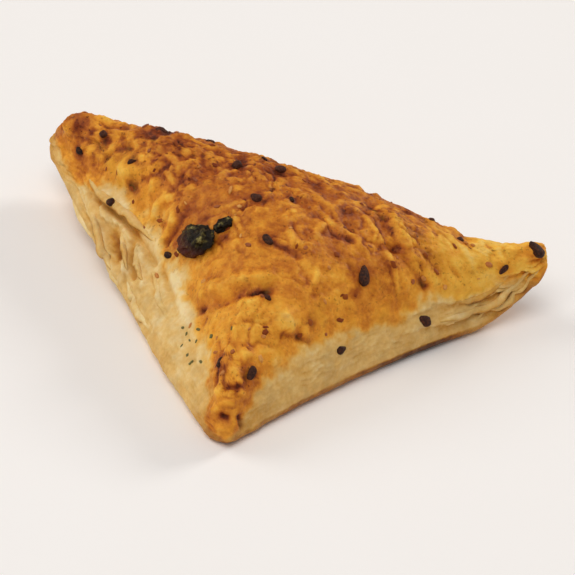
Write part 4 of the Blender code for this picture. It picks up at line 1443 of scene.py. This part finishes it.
# %% Lights
def soft_light(name, direction, distance, size, watts, colour):
    """A square area light that far away in that direction, facing the samosa."""
    lamp = bpy.data.lights.new(name, "AREA")
    lamp.shape = "SQUARE"
    lamp.size = size
    lamp.energy = watts
    lamp.color = colour
    light = bpy.data.objects.new(name, lamp)
    bpy.context.scene.collection.objects.link(light)
    toward = Vector(direction).normalized()
    light.location = toward * distance
    light.rotation_mode = "QUATERNION"
    light.rotation_quaternion = toward.to_track_quat("Z", "Y")
    light.visible_camera = False


SOFT_WHITE = (1.0, 0.985, 0.965)
ROOM_LIGHT = 0.33
soft_light("window_back_right", (0.62, 0.62, 0.52), 1.6, 0.42, 7.6, (1.0, 0.98, 0.95))
soft_light("window_left", (-0.80, 0.34, 0.66), 1.8, 0.9, 8.0, SOFT_WHITE)
soft_light("ceiling", (-0.25, -0.45, 1.0), 1.7, 1.1, 11.2, SOFT_WHITE)

world = bpy.data.worlds.new("studio")
bpy.context.scene.world = world
world.use_nodes = True
room = world.node_tree.nodes["Background"].inputs
room["Color"].default_value = (*SOFT_WHITE, 1)
room["Strength"].default_value = ROOM_LIGHT
bpy.context.scene.view_settings.view_transform = "Standard"
print("lights:", len(bpy.data.lights))

# %% Camera
CAMERA_PLACE = Vector((-42.63, -696.14, 498.69)) * MM
CAMERA_RIGHT = Vector((0.9959, 0.0457, 0.0780))
CAMERA_UP = Vector((-0.0904, 0.5034, 0.8593))
LOOK_AT = Vector((-1.2, -3.2, 8.6)) * MM
LENS_MM = 338.0
SENSOR_MM = 36.0

away = CAMERA_RIGHT.cross(CAMERA_UP).normalized()
upward = away.cross(CAMERA_RIGHT).normalized()
photo_axes = Matrix((CAMERA_RIGHT.normalized(), upward, away)).transposed()
toward_camera = (CAMERA_PLACE - LOOK_AT).normalized()
swing = away.rotation_difference(toward_camera)
lens = bpy.data.cameras.new("photo_view")
lens.lens = LENS_MM
lens.sensor_width = SENSOR_MM
lens.clip_start = 0.05
lens.clip_end = 50
camera = bpy.data.objects.new("photo_view", lens)
bpy.context.scene.collection.objects.link(camera)
camera.location = CAMERA_PLACE
camera.rotation_mode = "QUATERNION"
camera.rotation_quaternion = swing @ photo_axes.to_quaternion()
bpy.context.scene.camera = camera
print("camera to samosa, mm:", round((CAMERA_PLACE - LOOK_AT).length / MM))

# %% Sizes, and the end
low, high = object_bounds()
print("visual box, mm:", [round(1000 * x, 1) for x in high - low])
